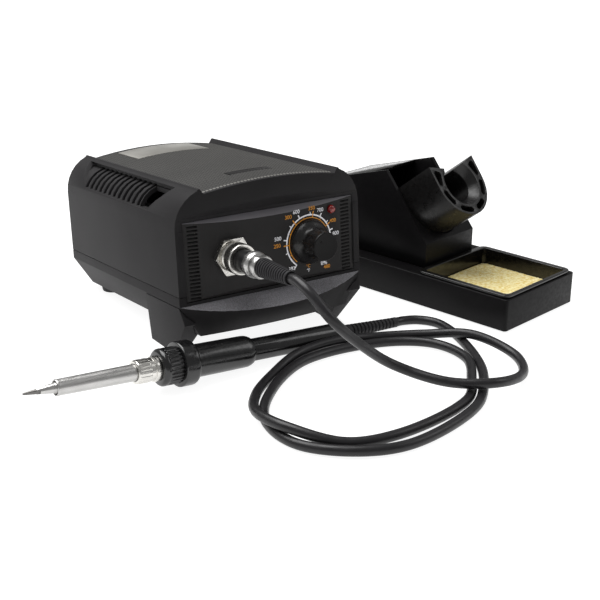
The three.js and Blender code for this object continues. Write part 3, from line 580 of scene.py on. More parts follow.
metals = {
    "steel": {"colour": (196, 195, 193), "roughness": 0.29},
    "nickel": {"colour": (222, 220, 215), "roughness": 0.2},
    "knurled_steel": {"colour": (96, 95, 93), "roughness": 0.4},
    "tinned": {"colour": (112, 110, 108), "roughness": 0.36, "streak": (300, 300, 300)},
    "core_steel": {"colour": (110, 110, 112), "roughness": 0.45, "streak": (40, 3000, 40)},
}
inks = {"white_ink": (250, 250, 254), "orange_ink": (222, 146, 26)}
materials = {
    # painted light: the ribbed top is a lighter grey than the shell grey of the same plastic, for the light
    # falling on the top
    "shell_ribbed": ribbedPlastic("shell_ribbed", (69, 68, 66)),
    "plate_silver": silverFilm("plate_silver"),
    "cord_grey": cordJacket("cord_grey", (29, 28, 30)),
    "lamp_red": lensPlastic("lamp_red"),
    "sponge_yellow": spongeFoam("sponge_yellow"),
    # the ledge's light grey is painted light on an upward-facing face; its grain is real
    "ledge": grainyLedge("ledge", (114, 113, 117)),
}
for name, look in plastics.items():
    materials[name] = mouldedPlastic(name, **look)
for name, look in metals.items():
    materials[name] = turnedMetal(name, **look)
for name, colour in inks.items():
    materials[name] = inkFilm(name, colour)
print("materials made", len(materials))

# cord: from the plug over the bench in a small loop and two wide ones to the iron

cordSettings = {
    "radius": 2.75, "samples": 16, "tailFrom": 34, "roundness": 6, "merge": 0.00001, "smooth": 60,
}
# bench coordinates in millimetres, from the boot to the strain relief
cordRoute = [
    (-28, -57.74, 64.45), (-28, -63.5, 64.7), (-27, -74.2, 61), (-20.8, -83.6, 49.4),
    (-4.3, -84, 33.4), (19.6, -84.3, 15.3), (38.9, -105.7, 9.2), (61.4, -119.2, 8.7),
    (90.3, -107.7, 3.4), (101.8, -87.3, 4.3), (93.5, -60.8, 8.6), (75.5, -39.9, 5.4),
    (51.3, -26.4, 4.2), (22.5, -24, 6.9), (-3.7, -26.8, 5.9), (-26.8, -37.8, 2.9),
    (-48, -56, 3.7), (-62.4, -81, 7.2), (-59.6, -105.6, 8.5), (-40.5, -125, 3.9),
    (-12.9, -130.6, 3.1), (41.7, -118, 2.8), (61.6, -98.5, 2.9), (76.7, -75.6, 3.6),
    (74.2, -50.6, 3.6), (52.7, -33, 2.9), (-2.1, -32.1, 3.6), (-45.8, -62.9, 2.9),
    (-60.1, -87.5, 2.9), (-59.1, -113.5, 2.9), (-40.4, -134.3, 3.4), (-13.7, -141.8, 2.9),
    (39.5, -127.1, 2.8), (62.1, -107.9, 2.8), (79.5, -83.9, 2.8), (95.8, -41, 2.8),
    (96.6, -24, 2.8), (90, -15, 2.85), (82, -11.8, 2.95), (76.65, -11.61, 3.11),
]


def throughPoints(points, samples):
    # a centripetal spline through every point
    ends = [points[0] * 2 - points[1], *points, points[-1] * 2 - points[-2]]
    line = []
    for before, start, end, after in zip(ends, ends[1:], ends[2:], ends[3:]):
        first = max((start - before).length ** 0.5, 1e-6)
        middle = (end - start).length ** 0.5
        last = max((after - end).length ** 0.5, 1e-6)
        leave = (
            (start - before) / first - (end - before) / (first + middle) + (end - start) / middle
        ) * middle
        arrive = (
            (end - start) / middle - (after - start) / (middle + last) + (after - end) / last
        ) * middle
        for step in range(samples):
            t = step / samples
            a = (2 * t**3 - 3 * t**2 + 1) * start + (t**3 - 2 * t**2 + t) * leave
            line.append(a + (3 * t**2 - 2 * t**3) * end + (t**3 - t**2) * arrive)
    line.append(points[-1])
    return line


def cordLength(line):
    return sum((b - a).length for a, b in zip(line, line[1:]))


def cordTube(name, line):
    curve = bpy.data.curves.new(name, "CURVE")
    curve.dimensions = "3D"
    spline = curve.splines.new("POLY")
    spline.points.add(len(line) - 1)
    for point, place in zip(spline.points, line):
        point.co = (*place, 1)
    curve.bevel_depth = cordSettings["radius"] / 1000
    curve.bevel_resolution = cordSettings["roundness"]
    curve.use_fill_caps = True
    curve.twist_mode = "MINIMUM"
    alone(linked(name, curve))
    bpy.ops.object.convert(target="MESH")
    return tidied(bpy.context.object, cordSettings["merge"])


cordLine = throughPoints([benchPoint(*point) for point in cordRoute], cordSettings["samples"])
tailStart = cordSettings["tailFrom"] * cordSettings["samples"]
mainLine = cordLine[: tailStart + 1]
tailLine = cordLine[tailStart:]
mainCord = cordTube("cord_loops", mainLine)
finished(mainCord, "station", "cord_grey", ["cord"], cordSettings["smooth"])
tailCord = cordTube("cord_tail", tailLine)
tailCord.data.materials.append(materials["cord_grey"])
alone(tailCord)
bpy.ops.object.shade_smooth_by_angle(angle=math.radians(cordSettings["smooth"]))
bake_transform(tailCord)
print("cord laid", round(cordLength(mainLine) + cordLength(tailLine), 4), "m")

# control unit: shells


panelBow = {"edge": 0.15, "bow": 3.3, "halfWidth": 55.3}
crown = {"middle": 83.2, "edge": 79.4, "halfWidth": 42.5}


def panelFace(x):
    # how far the panel's face lies behind the datum, negative where it bows out
    return panelBow["edge"] - panelBow["bow"] * (1 - (x / panelBow["halfWidth"]) ** 2)


def crownHeight(x):
    return crown["middle"] - (crown["middle"] - crown["edge"]) * (x / crown["halfWidth"]) ** 2


def faceFinishes(piece, place, choose):
    # choose(spot, facing) names another finish for a face, or None, in the frame of the unit
    toFrame = place.inverted()
    turnToFrame = toFrame.to_3x3().normalized()
    slots = {}
    for face in piece.data.polygons:
        name = choose(toFrame @ face.center, (turnToFrame @ face.normal).normalized())
        if name and name not in slots:
            piece.data.materials.append(materials[name])
            slots[name] = len(piece.data.materials) - 1
        if name:
            face.material_index = slots[name]


# where a face may lie, and how it must face, to take another finish
ledgeNormal = Vector((0, -0.424, 1)).normalized()
lipLimits = {"behind": 8, "forward": -0.45}
noseLimits = {"behind": 3, "forward": -0.3}
ledgeLimits = {"behind": -0.05, "along": 0.97}
bevelLimits = {"above": 60, "upward": 0.2, "forward": -0.3}


def facesFront(spot, facing, limits):
    return spot.y < limits["behind"] and facing.y < limits["forward"]


def coverFinish(spot, facing):
    # the front lip is smoother than the grained sides, and darker: painted shade on the faces that look forward
    return "shell_front_painted_shade" if facesFront(spot, facing, lipLimits) else None


def lowerFinish(spot, facing):
    # the upward-facing ledge takes the light grained finish, its light tone painted light
    if spot.y < ledgeLimits["behind"] and facing.dot(ledgeNormal) > ledgeLimits["along"]:
        return "ledge"
    # the forward-facing nose takes the darker copy as painted shade
    return "shell_front_painted_shade" if facesFront(spot, facing, noseLimits) else None


def panelFinish(spot, facing):
    # the upward-facing top bevel takes the lighter copy, painted light from above
    high = spot.z > bevelLimits["above"] and facing.z > bevelLimits["upward"]
    return "panel_bevel_painted_light" if high and facing.y < bevelLimits["forward"] else None


# the gaps between the louvre fins, and the open pocket in front of the first fin
louvres = {
    "count": 12, "first": 46.8, "pitch": 6.45, "gap": 3.3, "z": (67.5, 78.4), "x": (40.5, 66),
    "pocket": [(44, 67.6), (35.2, 67.6), (23.5, 79.6), (44, 79.6)], "pocketX": (47.2, 66),
    "edge": 0.00045,
}
# stands an outline drawn in y and z up across x
acrossUnit = Matrix(((0, 0, 1, 0), (1, 0, 0, 0), (0, 1, 0, 0), (0, 0, 0, 1)))
cover = refined("upper_shell", "cover", 0)
for side in (-1, 1):
    near, far = sorted(side * reach for reach in louvres["x"])
    for index in range(louvres["count"]):
        middle = louvres["first"] + index * louvres["pitch"]
        low = (near, middle - louvres["gap"] / 2, louvres["z"][0])
        high = (far, middle + louvres["gap"] / 2, louvres["z"][1])
        combined(cover, placed(block("gap", low, high), unitFrame))
    near, far = sorted(side * reach for reach in louvres["pocketX"])
    pocket = plate("pocket", louvres["pocket"], near, far)
    placed(pocket, acrossUnit)
    combined(cover, placed(pocket, unitFrame))
bevelled(cover, louvres["edge"], 2, 32)
finished(cover, "station", "shell_grey", ["upper_shell"])
faceFinishes(cover, unitFrame, coverFinish)

lower = refined("lower_shell", "lower_housing", 0.4, 2, 32)
finished(lower, "station", "shell_grey", ["lower_shell"])
faceFinishes(lower, unitFrame, lowerFinish)

for side in ("left", "right"):
    eased("leg_" + side, "front_leg_" + side, 0.6, "station", "shell_grey", segments=3)
    eased("rear_foot_" + side, "rear_pad_" + side, 0.4, "station", "rubber_black")

# the ribbed field on top: ribs in both directions, with shallower grooves along than across
grille = {
    "ribs": 40, "crossings": 58, "perRib": 4, "reach": 41.9, "front": 2.8, "frontBow": 5,
    "bowHalfWidth": 60, "rear": 142.5, "plainEnd": 2.2, "plainDepth": 0.5, "tooth": 0.9,
    "rise": 0.62, "clear": 0.03, "thick": 0.4, "narrowness": {"along": 3, "across": 2},
    "alongShare": 0.42, "strip": {"x": (-14.5, 14), "y": (17, 25)},
}


def grooveDepth(share, steepness):
    # 1 in the middle of a groove, 0 on a rib
    return max(0, 1 - abs(share - round(share)) * steepness)


selectNothing()
bpy.ops.mesh.primitive_grid_add(
    x_subdivisions=grille["ribs"] * grille["perRib"],
    y_subdivisions=grille["crossings"] * grille["perRib"],
    size=2,
)
ribbed = bpy.context.object
ribbed.name = "ribbed_top"
grooves = []
for vertex in ribbed.data.vertices:
    u, v = vertex.co.x, vertex.co.y
    x = u * grille["reach"]
    front = grille["front"] - grille["frontBow"] * (1 - (x / grille["bowHalfWidth"]) ** 2)
    y = front + (v + 1) / 2 * (grille["rear"] - front)
    lengthwise = grooveDepth((u + 1) / 2 * grille["ribs"], grille["narrowness"]["along"])
    across = grooveDepth((v + 1) / 2 * grille["crossings"], grille["narrowness"]["across"])
    depth = max(lengthwise * grille["alongShare"], across)
    (left, right), (near, far) = grille["strip"]["x"], grille["strip"]["y"]
    if left < x < right and near < y < far:
        depth = 1
    if y > grille["rear"] - grille["plainEnd"]:
        depth = grille["plainDepth"]
    onTooth = y < front + grille["tooth"] and lengthwise < 0.5
    # -1 marks the ribs' front ends for the painted highlight; the depth also sets the painted shade in the grooves
    grooves.append(-1 if onTooth else depth)
    vertex.co = (x, y, crownHeight(x) + grille["clear"] + grille["rise"] * (1 - depth))
mark = ribbed.data.attributes.new("groove", "FLOAT", "POINT")
mark.data.foreach_set("value", grooves)
editing(ribbed)
extruded(-grille["thick"])
facingOut()
doneEditing()
placed(ribbed, unitFrame)
finished(ribbed, "station", "shell_grey", (), 60, "shell_ribbed")

# the smooth strip let into the ribs is left blank
blank = {"x": (-14.2, 13.7), "y": (17.3, 24.7), "corner": 0.8, "height": 0.5}
blankOutline = roundedOutline(*blank["x"], *blank["y"], blank["corner"])
strip = plate("blank_strip", blankOutline, 0, blank["height"])
bevelled(strip, 0.12, 2, 40)
for vertex in strip.data.vertices:
    vertex.co.z += crownHeight(vertex.co.x)
placed(strip, unitFrame)
finished(strip, "station", "black_plastic", (), 35, "knob_disc")

eased("top_plate", "blank_label", 0.15, "station", "plate_silver")

# control unit: front panel and its print

panel = refined("front_panel", "front_panel_face", 0.22, 2, 32)
finished(panel, "station", "black_plastic", ["front_panel"], 35, "panel_black")
faceFinishes(panel, unitFrame, panelFinish)

# narrow fins behind the slots break up the dark behind them
fins = {
    "count": 20, "pitch": 2.1, "lowest": 22, "x": (46.6, 53.1), "z": (-0.6, -0.08),
    "behind": (0.7, 1.9),
}
finBlocks = []
for side in (-1, 1):
    near, far = sorted(side * reach for reach in fins["x"])
    face = panelFace((near + far) / 2)
    for index in range(fins["count"]):
        z = fins["lowest"] + index * fins["pitch"]
        low = (near, face + fins["behind"][0], z + fins["z"][0])
        high = (far, face + fins["behind"][1], z + fins["z"][1])
        finBlocks.append(block("fin", low, high))
finPiece = placed(joined("slot_fins", finBlocks), unitFrame)
finished(finPiece, "station", "black_plastic", (), 0, "panel_black")

dial = {
    "x": dialSpot.x,
    "z": dialSpot.z,
    "white": {"radius": 15.4, "stroke": 0.85, "reach": 143.5, "ink": 0.05},
    "orange": {"radius": 13.75, "stroke": 0.5, "reach": 140, "ink": 0.07},
    "sunk": 0.03, "degreesPerStep": 3, "numberSize": 3.1, "unitSize": 2.7, "embolden": 0.015,
}


def onPanel(piece, thickness):
    # flat artwork in x and z is laid on the bowed face
    for vertex in piece.data.vertices:
        x, z, lift = vertex.co.x, vertex.co.y, vertex.co.z
        vertex.co = (x, panelFace(x) - dial["sunk"] - lift * thickness, z)
    editing(piece)
    facingOut()
    doneEditing()
    return placed(piece, unitFrame)


def dialSweep(radius, start, end, width):
    # a curved stroke, with angles clockwise from straight up
    steps = max(2, round(abs(end - start) / dial["degreesPerStep"]))
    rim = []
    for reach, order in ((radius + width / 2, 1), (radius - width / 2, -1)):
        for step in list(range(steps + 1))[::order]:
            angle = math.radians(start + (end - start) * step / steps)
            rim.append((dial["x"] + reach * math.sin(angle), dial["z"] + reach * math.cos(angle)))
    return plate("stroke", rim, 0, 1)


def dialTick(angle, inner, outer, width):
    turn = math.radians(angle)
    along = Vector((math.sin(turn), math.cos(turn)))
    aside = Vector((along.y, -along.x)) * width / 2
    middle = Vector((dial["x"], dial["z"]))
    near, far = middle + along * inner, middle + along * outer
    return plate("tick", [near - aside, far - aside, far + aside, near + aside], 0, 1)


def dialWord(words, x, z, size):
    # letters that stand from 0 to 1, as the strokes do
    selectNothing()
    bpy.ops.object.text_add(location=(x, z, 0))
    text = bpy.context.object
    text.data.body = words
    text.data.size = size
    text.data.align_x = "CENTER"
    text.data.align_y = "CENTER"
    text.data.extrude = 0.5
    text.data.offset = dial["embolden"]
    bpy.ops.object.convert(target="MESH")
    piece = bpy.context.object
    bpy.ops.object.transform_apply(location=True, rotation=True, scale=True)
    for vertex in piece.data.vertices:
        vertex.co.z += 0.5
    return tidied(piece, 0.0005)


# each number with the angle of its tick and the place of its middle
fahrenheit = [
    ("392", -143, 10.9, 28.6), ("500", -79, 2.3, 47.3), ("600", -23, 15.4, 60.8),
    ("700", 32, 32, 59.4), ("800", 75, 42.8, 44), ("896", 143, 33.5, 27.9),
]
celsius = [
    ("250", -90, 1.7, 43.3), ("300", -38, 9.8, 58.6), ("350", 12, 26, 61.4),
    ("400", 60, 41, 51.8), ("480", 140, 35.6, 25.4),
]
white, orange = dial["white"]["radius"], dial["orange"]["radius"]
# inner end, outer end and width of the ticks
ticks = {
    "white": (white, white + 2.3, 0.7),
    "whiteShort": (white, white + 1.6, 0.55),
    "orange": (orange - 0.2, white + 2.1, 0.65),
    "orangeShort": (orange - 0.2, orange + 0.9, 0.5),
}


def dialPrint(colour, numbers, shortTicks, unitMark):
    settings = dial[colour]
    strokes = [dialSweep(settings["radius"], -settings["reach"], settings["reach"], settings["stroke"])]
    for words, angle, x, z in numbers:
        strokes.append(dialTick(angle, *ticks[colour]))
        strokes.append(dialWord(words, x, z, dial["numberSize"]))
    for angle in shortTicks:
        strokes.append(dialTick(angle, *ticks[colour + "Short"]))
    strokes.append(dialWord(*unitMark, dial["unitSize"]))
    piece = onPanel(joined("dial_print_" + colour, strokes), settings["ink"])
    finished(piece, "station", "black_plastic", (), 0, colour + "_ink")


dialPrint("white", fahrenheit, (-107, -50, 5, 54, 109), ("\u00b0F", 22.2, 25.5))
dialPrint("orange", celsius, (-115, -64, -13, 36, 100), ("\u00b0C", 22.3, 28.1))
print("shells and panel made")

# lamp, socket and plug

lampSpot = (39.7, 58.8)
lampPlace = outOfPanel(*lampSpot)
lampFace = -panelFace(lampSpot[0])
lens = turned("lamp_dome", [(2.5, -9), *raised(lampFace, [
    (2.5, 0.4), (2.44, 0.9), (2.25, 1.4), (1.9, 1.85), (1.4, 2.2), (0.75, 2.42), (0.2, 2.48),
])], 48)
finished(placed(lens, lampPlace), "station", "lamp_red", ["lamp_lens"], 60)
lampRim = turned("lamp_rim", raised(lampFace, [
    (2.6, -1), (3.1, -1), (3.1, 0.1), (2.9, 0.3), (2.6, 0.25), (2.6, -1),
]), 48, ring=True)
finished(placed(lampRim, lampPlace), "station", "black_plastic")

socketPlace = outOfPanel(-28, 43)
seat = 3.1  # the spot face under the socket, outward from the panel's datum


def threaded(radius, depth, low, high, pitch):
    # rounded crests along a barrel
    points = []
    count = max(1, round((high - low) / pitch))
    step = (high - low) / count
    for turn in range(count):
        start = low + turn * step
        points += [
            (radius - depth, start), (radius, start + step * 0.35),
            (radius, start + step * 0.6), (radius - depth, start + step * 0.95),
        ]
    return points


barrel = turned("socket_thread", [
    (6.65, seat - 5), (7.7, seat - 5), *threaded(8, 0.45, seat - 4, seat + 7.2, 0.8),
    (7.6, seat + 7.4), (7.2, seat + 8), (6.65, seat + 8), (6.65, seat - 5),
], 72, ring=True)
finished(placed(barrel, socketPlace), "station", "nickel", ["socket_barrel"], 40)
eased("socket_insert", "socket_core", 0.2, "station", "black_plastic")
washer = turned("socket_washer_ring", raised(seat, [
    (8.3, 0.3), (9.7, 0.3), (9.8, 0.45), (9.8, 0.8), (9.7, 0.95), (8.3, 0.95), (8.3, 0.3),
]), 72, ring=True)
finished(placed(washer, socketPlace), "station", "nickel", ["socket_washer"], 40)


def hexNut(name, corner, low, high, bore, chamfer):
    # six sides cut by a blunt cone, which leaves the rounded chamfer on the outer face
    nut = turned(name, [(corner, low), (corner, high)], 6)
    placed(nut, turnAbout("Z", 30))
    wide, shoulder = corner + 3, high - chamfer - 1.7
    blunt = corner - chamfer * 1.7
    cone = turned("cone", [(wide, low - 1), (wide, shoulder), (blunt, high + 1)], 96)
    combined(nut, cone, "INTERSECT")
    hole = turned("hole", [(bore, low - 2), (bore, high + 2)], 64)
    combined(nut, hole)
    return bevelled(nut, 0.12, 2, 25)


nut = hexNut("socket_hex_nut", 11.6, seat + 1.25, seat + 3.8, 8.25, 0.9)
finished(placed(nut, socketPlace), "station", "nickel", ["socket_nut"], 30)


def knurled(piece, count, depth, low, high, fadeLength=0.5):
    # the wall between two heights is drawn in along straight grooves that fade out at their ends
    for vertex in piece.data.vertices:
        x, y, z = vertex.co
        if low <= z <= high:
            fade = min(1, (z - low) / fadeLength, (high - z) / fadeLength)
            groove = depth * fade * (0.5 + 0.5 * math.cos(count * math.atan2(y, x)))
            radius = math.hypot(x, y)
            k = (radius - groove) / radius
            vertex.co.x, vertex.co.y = x * k, y * k


ring = turned("coupling_sleeve", raised(seat, [
    (8.3, 6.5), (8.5, 6.4), (8.75, 6.7), (8.8, 7.1), (8.8, 8), (8.8, 9), (8.8, 10), (8.8, 10.9),
    (8.62, 11.3), (8.62, 11.6), (8.8, 11.9), (8.7, 12.6), (8.3, 13), (6.9, 13), (6.3, 12.7),
    (6.3, 11.4), (8.3, 11.4), (8.3, 6.5),
]), 240, ring=True)
knurled(ring, 48, 0.25, seat + 7.0, seat + 10.95)
finished(placed(ring, socketPlace), "coupling_ring", "nickel", ["coupling_ring"], 40)


def bandFinish(piece, place, low, high, name):
    # another finish between two heights of a turned piece
    toPiece = place.inverted()
    piece.data.materials.append(materials[name])
    for face in piece.data.polygons:
        if low < (toPiece @ face.center).z < high:
            face.material_index = len(piece.data.materials) - 1


bandFinish(ring, socketPlace, seat + 6.9, seat + 11, "knurled_steel")

plugBody = turned("plug_barrel", raised(seat, [
    (6.35, 1.3), (6.35, 10.9), (6, 11), (6, 13.4), (5.85, 13.7), (5.85, 14.1), (6, 14.4),
    (6, 22.4), (5.7, 23),
]), 72)
finished(placed(plugBody, socketPlace), "station", "black_plastic", ["plug_body"], 40)

clamp = turned("plug_clamp", raised(seat, [
    (4.7, 23.3), (6.6, 23.3), (7.2, 23.7), (7.3, 24.2), (7.3, 26.6), (7.1, 27.4), (6.6, 28),
    (6.45, 28.3), (6.6, 28.7), (6.6, 33.8), (6.2, 34.5), (4.7, 34.5), (4.7, 23.3),
]), 96, ring=True)
clampFlats = {"inner": 5.9, "outer": 12, "low": 28.9, "high": 40}
for side in (1, -1):
    low, high = sorted((side * clampFlats["inner"], side * clampFlats["outer"]))
    flat = block(
        "flat",
        (-clampFlats["outer"], low, seat + clampFlats["low"]),
        (clampFlats["outer"], high, seat + clampFlats["high"]),
    )
    combined(clamp, flat)
bevelled(clamp, 0.12, 2, 40)
finished(placed(clamp, socketPlace), "station", "steel", ["plug_clamp_nut"], 35)

bootRings = {"from": 34.8, "to": 61, "count": 13, "large": 5.4, "small": 3.8}
bootProfile = [(4.4, seat + 24.5), (4.4, seat + 34.7)]
bootPitch = (bootRings["to"] - bootRings["from"]) / bootRings["count"]
for index in range(bootRings["count"]):
    start = seat + bootRings["from"] + index * bootPitch
    share = index / (bootRings["count"] - 1)
    radius = bootRings["large"] + (bootRings["small"] - bootRings["large"]) * share
    bootProfile += [
        (radius - 0.12, start), (radius, start + 0.18),
        (radius, start + bootPitch * 0.56), (radius - 0.14, start + bootPitch * 0.64),
    ]
    if index < bootRings["count"] - 1:
        bootProfile += [
            (radius - 0.75, start + bootPitch * 0.68), (radius - 0.8, start + bootPitch * 0.95),
        ]
bootEnd = seat + bootRings["to"]
bootProfile += [
    (3.95, bootEnd - 0.6), (3.9, bootEnd - 0.15), (3.75, bootEnd),
    (3.4, bootEnd), (3.2, bootEnd - 0.3), (3.1, bootEnd - 3),
]
boot = turned("cord_boot", bootProfile, 64)
finished(placed(boot, socketPlace), "station", "rubber_black", ["plug_boot"], 40)

# dial knob

# heights outward from the panel's datum, and the pointer's nick in the face
knobFoot, knobTop = 3.305, 20.005
nickSpot = (-3.4, 3.4, 0)
knobPlace = outOfPanel(dial["x"], dial["z"])
knob = turned("dial_knob", [*raised(knobFoot, [
    (9, 3.2), (9, 0), (12.6, 0), (12.85, 0.25), (12.8, 0.9), (12.4, 1.9), (11.7, 2.9), (10.8, 3.8),
    (9.8, 4.7), (9.1, 5.6), (8.7, 6.6), (8.5, 7.8), (8.35, 9.4), (8.28, 11.2), (8.24, 13),
    (8.22, 14.8),
]), *raised(knobTop, [
    (8.2, -0.75), (8.1, -0.35), (7.8, -0.06), (7.5, 0), (7.3, -0.04), (1, -0.1),
])], 200)
knurled(knob, 10, 0.3, knobFoot + 6, knobTop - 1.6)
nick = turned("nick", [(0.1, knobTop - 0.45), (0.55, knobTop - 0.1), (0.8, knobTop + 0.6)], 24)
placed(nick, Matrix.Translation(nickSpot))
combined(knob, nick)
finished(placed(knob, knobPlace), "knob", "black_plastic", ["knob"], 35, "knob_black")
bandFinish(knob, knobPlace, knobTop - 0.3, knobTop + 1, "knob_disc")
eased("knob_shaft", "dial_shaft", 0.15, "knob", "steel")
print("socket, plug and dial made")

# control unit: rear and inside, and the heater in the iron

bodies = frame["record"]["behaviour"]["bodies"]
for node, name, width, slot in (
    ("rear_panel", "back_panel", 0.3, "shell_grey"),
    ("mains_inlet", "inlet_housing", 0.35, "black_plastic"),
    ("fuse_drawer", "fuse_holder_drawer", 0.3, "black_plastic"),
    ("switch_housing", "switch_frame", 0.3, "black_plastic"),
    ("switch_rocker", "rocker_key", 0.4, "black_plastic"),
    ("pot_body", "dial_pot", 0.25, "steel"),
    ("pot_nut", "dial_pot_nut", 0.15, "nickel"),
    ("circuit_board", "board_panel", 0.1, "board_green"),
    ("transformer_core", "iron_core", 0.2, "core_steel"),
    ("transformer_coil", "wound_coil", 0.6, "coil_tape"),
    ("heater_core", "heater_rod", 0.15, "steel"),
):
    body = next(key for key, members in bodies.items() if node in members)
    eased(node, name, width, body, slot)
print("rear and inside made")

# iron, modelled along its length from the bit

bitCone = turned("bit_cone", [
    (0.4, 0), (0.65, 0.4), (1.4, 7.1), (1.55, 7.4), (2.5, 14.8), (2.64, 16.4), (2.65, 16.8),
    (3.1, 17.6), (3.2, 18.2), (3.2, 43.9),
], 64)
# two flats leaning toward each other make the edge of the chisel
chisel = {"low": (-4, 0.34, -3), "high": (4, 6, 9), "turn": 25, "lean": -4.2}
for turnedBy in (0, 180):
    facet = block("facet", chisel["low"], chisel["high"])
    placed(facet, turnAbout("Z", turnedBy + chisel["turn"]) @ turnAbout("X", chisel["lean"]))
    combined(bitCone, facet)
placed(bitCone, ironFrame)
finished(bitCone, "iron", "nickel", ["bit"], 30, "steel")
bandFinish(bitCone, ironFrame, -1, 7.2, "tinned")

heaterTube = turned("heater_tube", [
    (3.5, 19), (3.45, 17.9), (3.6, 17.35), (3.95, 17.1), (4.2, 17.25), (4.38, 17.7), (4.36, 18.4),
    (4.28, 19.2), (4.3, 20), (4.45, 40), (4.6, 62), (6, 62), (6, 64), (3.5, 64), (3.5, 19),
], 72, ring=True)
finished(placed(heaterTube, ironFrame), "iron", "steel", ["heater_barrel"], 30)

tipNut = turned("tip_nut", [
    (4.95, 61.5), (5.7, 61.5), (6.2, 61.75), (6.45, 62.3), (6.5, 62.9), (6.5, 64), (6.5, 65.5),
    (6.5, 67), (6.5, 68.5), (6.42, 69.2), (6, 69.6), (5.8, 69.9), (5.8, 71.2), (6.3, 71.6),
    (6.85, 71.8), (6.9, 72.4), (6.9, 74.3), (6.7, 74.8), (6.3, 74.8), (6.3, 61.8), (4.95, 61.8),
    (4.95, 61.5),
], 240, ring=True)
knurled(tipNut, 20, 0.4, 62.35, 69.3)
finished(placed(tipNut, ironFrame), "barrel_nut", "nickel", ["barrel_nut"], 40)

sleeve = turned("handle_sleeve_nut", [
    (3.5, 75.1), (8.3, 75.1), (8.9, 75.3), (9.7, 76), (10.05, 76.7), (10.1, 77.6), (10.1, 78.2),
    (9.9, 78.5), (10.1, 78.9), (10.1, 80.5), (10.1, 82.5), (10.1, 84.5), (10.1, 86.2),
    (3.5, 86.2), (3.5, 75.1),
], 280, ring=True)
knurled(sleeve, 28, 0.7, 78.6, 87)
finished(placed(sleeve, ironFrame), "handle_nut", "black_plastic", ["handle_nut"], 35, "handle_black")

grip = turned("grip_sleeve", [
    (3.5, 86.5), (11.5, 86.5), (12, 86.7), (12.25, 87.1), (12.3, 87.6), (12.3, 93.4), (12.2, 94.3),
    (11.85, 95.1), (11.2, 95.75), (10.2, 96.1), (9.3, 96.3), (9.05, 96.8), (9, 97.5), (8.95, 105),
    (8.9, 115), (8.8, 128), (8.7, 129.8), (8.45, 130.9), (8.1, 131.8), (7.8, 132.5), (5.3, 132.5),
    (5.3, 108.5), (3.5, 108.5), (3.5, 86.5),
], 96, ring=True)
finished(placed(grip, ironFrame), "iron", "grip_black", ["front_grip"], 35, "handle_black")

rear = turned("handle_tube", [
    (5, 108.8), (5, 132.8), (6.15, 132.8), (6.4, 133.2), (6.4, 150), (6.4, 170), (6.4, 189),
    (6.1, 190.2), (5.2, 191),
], 96)
flutes = {"from": 133, "to": 189.5, "count": 8, "depth": 0.022}
for vertex in rear.data.vertices:
    x, y, z = vertex.co
    if flutes["from"] <= z <= flutes["to"]:
        k = 1 - flutes["depth"] * (1 - math.cos(flutes["count"] * math.atan2(y, x))) / 2
        vertex.co.x, vertex.co.y = x * k, y * k
finished(placed(rear, ironFrame), "iron", "black_plastic", ["rear_handle"], 30, "handle_black")

relief = {
    "from": 191.3, "to": 238.4, "plain": 12, "mouth": 2, "slots": 12, "large": 4, "small": 3.05,
    "end": 2.85,
}
reliefStart = relief["from"] + relief["plain"]
reliefPitch = (relief["to"] - relief["from"] - relief["plain"] - relief["mouth"]) / relief["slots"]
reliefProfile = [
    (relief["large"] - 0.1, relief["from"]), (relief["large"], relief["from"] + 0.3),
    (relief["large"], reliefStart - 0.4), (relief["large"] - 0.1, reliefStart),
]
for index in range(relief["slots"]):
    start = relief["from"] + relief["plain"] + index * reliefPitch
    share = (index + 1) / relief["slots"]
    radius = relief["large"] + (relief["small"] - relief["large"]) * share
    reliefProfile += [
        (radius - 0.85, start + 0.05), (radius - 0.9, start + reliefPitch * 0.36),
        (radius - 0.12, start + reliefPitch * 0.42), (radius, start + reliefPitch * 0.5),
        (radius, start + reliefPitch * 0.92), (radius - 0.12, start + reliefPitch * 0.99),
    ]
reliefProfile += [
    (relief["small"], relief["to"] - 1.6), (relief["small"], relief["to"] - 0.4),
    (relief["end"], relief["to"]),
]
strain = turned("cord_relief", reliefProfile, 64)
finished(placed(strain, ironFrame), "iron", "rubber_black", ["strain_relief"], 40)
print("iron made")

# iron rest

eased("rest_base", "rest_tray_base", 0.45, "iron_rest", "black_plastic", "rest_black", 3)
for corner in ("front_left", "front_right", "rear_left", "rear_right"):
    eased("rest_foot_" + corner, "pad_" + corner, 0.15, "iron_rest", "rubber_black")
eased("holder_housing", "holder_cheeks", 0.35, "iron_rest", "black_plastic", "rest_black")
eased("housing_lid", "lid_panel", 0.3, "iron_rest", "gloss_black")
eased("iron_holder", "iron_cradle", 0.35, "iron_rest", "grip_black", "holder_black")
eased("sponge_tray", "water_tray", 0.5, "sponge_tray", "gloss_black", segments=3)

# the sponge: a block with rounded corners, remeshed, then roughened above its foot
sponge = {
    "x": (5.7, 67.5), "y": (4.1, 64.9), "z": (4.7, 13.3),
    "corner": 4, "edge": 0.6, "voxel": 0.7, "foot": 0.6,
    "coarse": {"pitch": 0.9, "height": 0.22},
    "fine": {"pitch": 2.3, "height": 0.16},
    "swell": {"pitch": 0.06, "height": 0.25},
    "drawnIn": 0.22, "sunk": 0.1,
}


def waves(spot, settings):
    return noise.noise(spot * settings["pitch"]) * settings["height"]


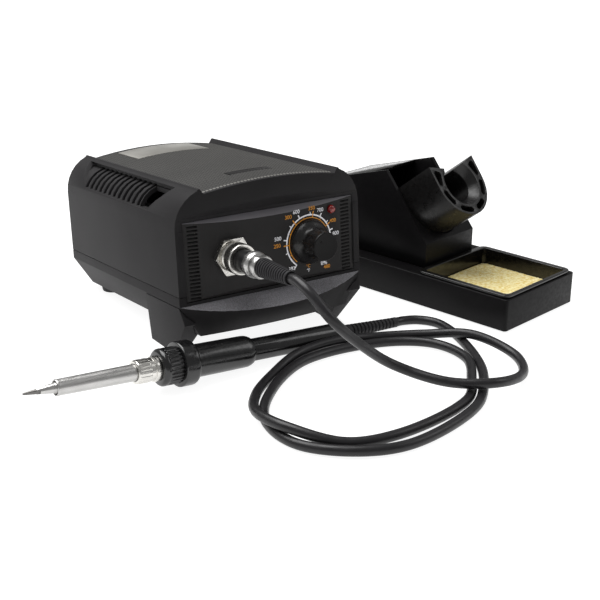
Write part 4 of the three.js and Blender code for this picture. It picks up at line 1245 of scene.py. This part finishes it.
spongeOutline = roundedOutline(*sponge["x"], *sponge["y"], sponge["corner"])
spongeBlock = plate("sponge_block", spongeOutline, *sponge["z"])
bevelled(spongeBlock, sponge["edge"], 2, 60)
remesh = spongeBlock.modifiers.new("remesh", "REMESH")
remesh.mode = "VOXEL"
remesh.voxel_size = sponge["voxel"]
applied(spongeBlock, remesh)
for vertex in spongeBlock.data.vertices:
    x, y, z = vertex.co
    rough = waves(Vector((x, y, z)), sponge["coarse"]) + waves(Vector((x, y, z)), sponge["fine"])
    swell = waves(Vector((x, y, 0)), sponge["swell"])
    if z > sponge["z"][0] + sponge["foot"]:
        lift = Vector((0, 0, swell * (z / sponge["z"][1]) - sponge["sunk"]))
        vertex.co += vertex.normal * (rough - sponge["drawnIn"]) + lift
placed(spongeBlock, restFrame)
finished(spongeBlock, "sponge", "sponge_yellow", ["sponge"], 60)
print("rest made")

# floor and light

stage = {"size": 8, "shade": 0.33, "roughness": 0.9, "glow": 0.9, "sky": 0.32}
selectNothing()
bpy.ops.mesh.primitive_plane_add(size=stage["size"])
floor = bpy.context.object
floor.name = "floor"
floorPaper = bpy.data.materials.new("floor_paper")
floorPaper.use_nodes = True
floorShader = floorPaper.node_tree.nodes["Principled BSDF"]
floorShader.inputs["Base Color"].default_value = (*[stage["shade"]] * 3, 1)
floorShader.inputs["Roughness"].default_value = stage["roughness"]
floorShader.inputs["Emission Color"].default_value = (1, 1, 1, 1)
floorShader.inputs["Emission Strength"].default_value = stage["glow"]
floor.data.materials.append(floorPaper)

world = bpy.data.worlds.new("studio")
scene.world = world
world.use_nodes = True
background = world.node_tree.nodes["Background"]
background.inputs["Color"].default_value = (1, 1, 1, 1)
background.inputs["Strength"].default_value = stage["sky"]
scene.view_settings.view_transform = "Standard"

lamps = {
    "key": {"place": (-0.28, 0.4, 1.2), "aim": (0.02, 0, 0.03), "size": 1.1, "power": 22},
    "fill": {"place": (0.9, -0.5, 0.8), "aim": (0.05, 0, 0.03), "size": 0.6, "power": 2},
}
for name, settings in lamps.items():
    lampData = bpy.data.lights.new(name, "AREA")
    lampData.shape = "SQUARE"
    lampData.size = settings["size"]
    lampData.energy = settings["power"]
    lamp = linked(name, lampData)
    lamp.location = settings["place"]
    aim = Vector(settings["aim"]) - lamp.location
    lamp.rotation_euler = aim.to_track_quat("-Z", "Y").to_euler()
print("lights placed")
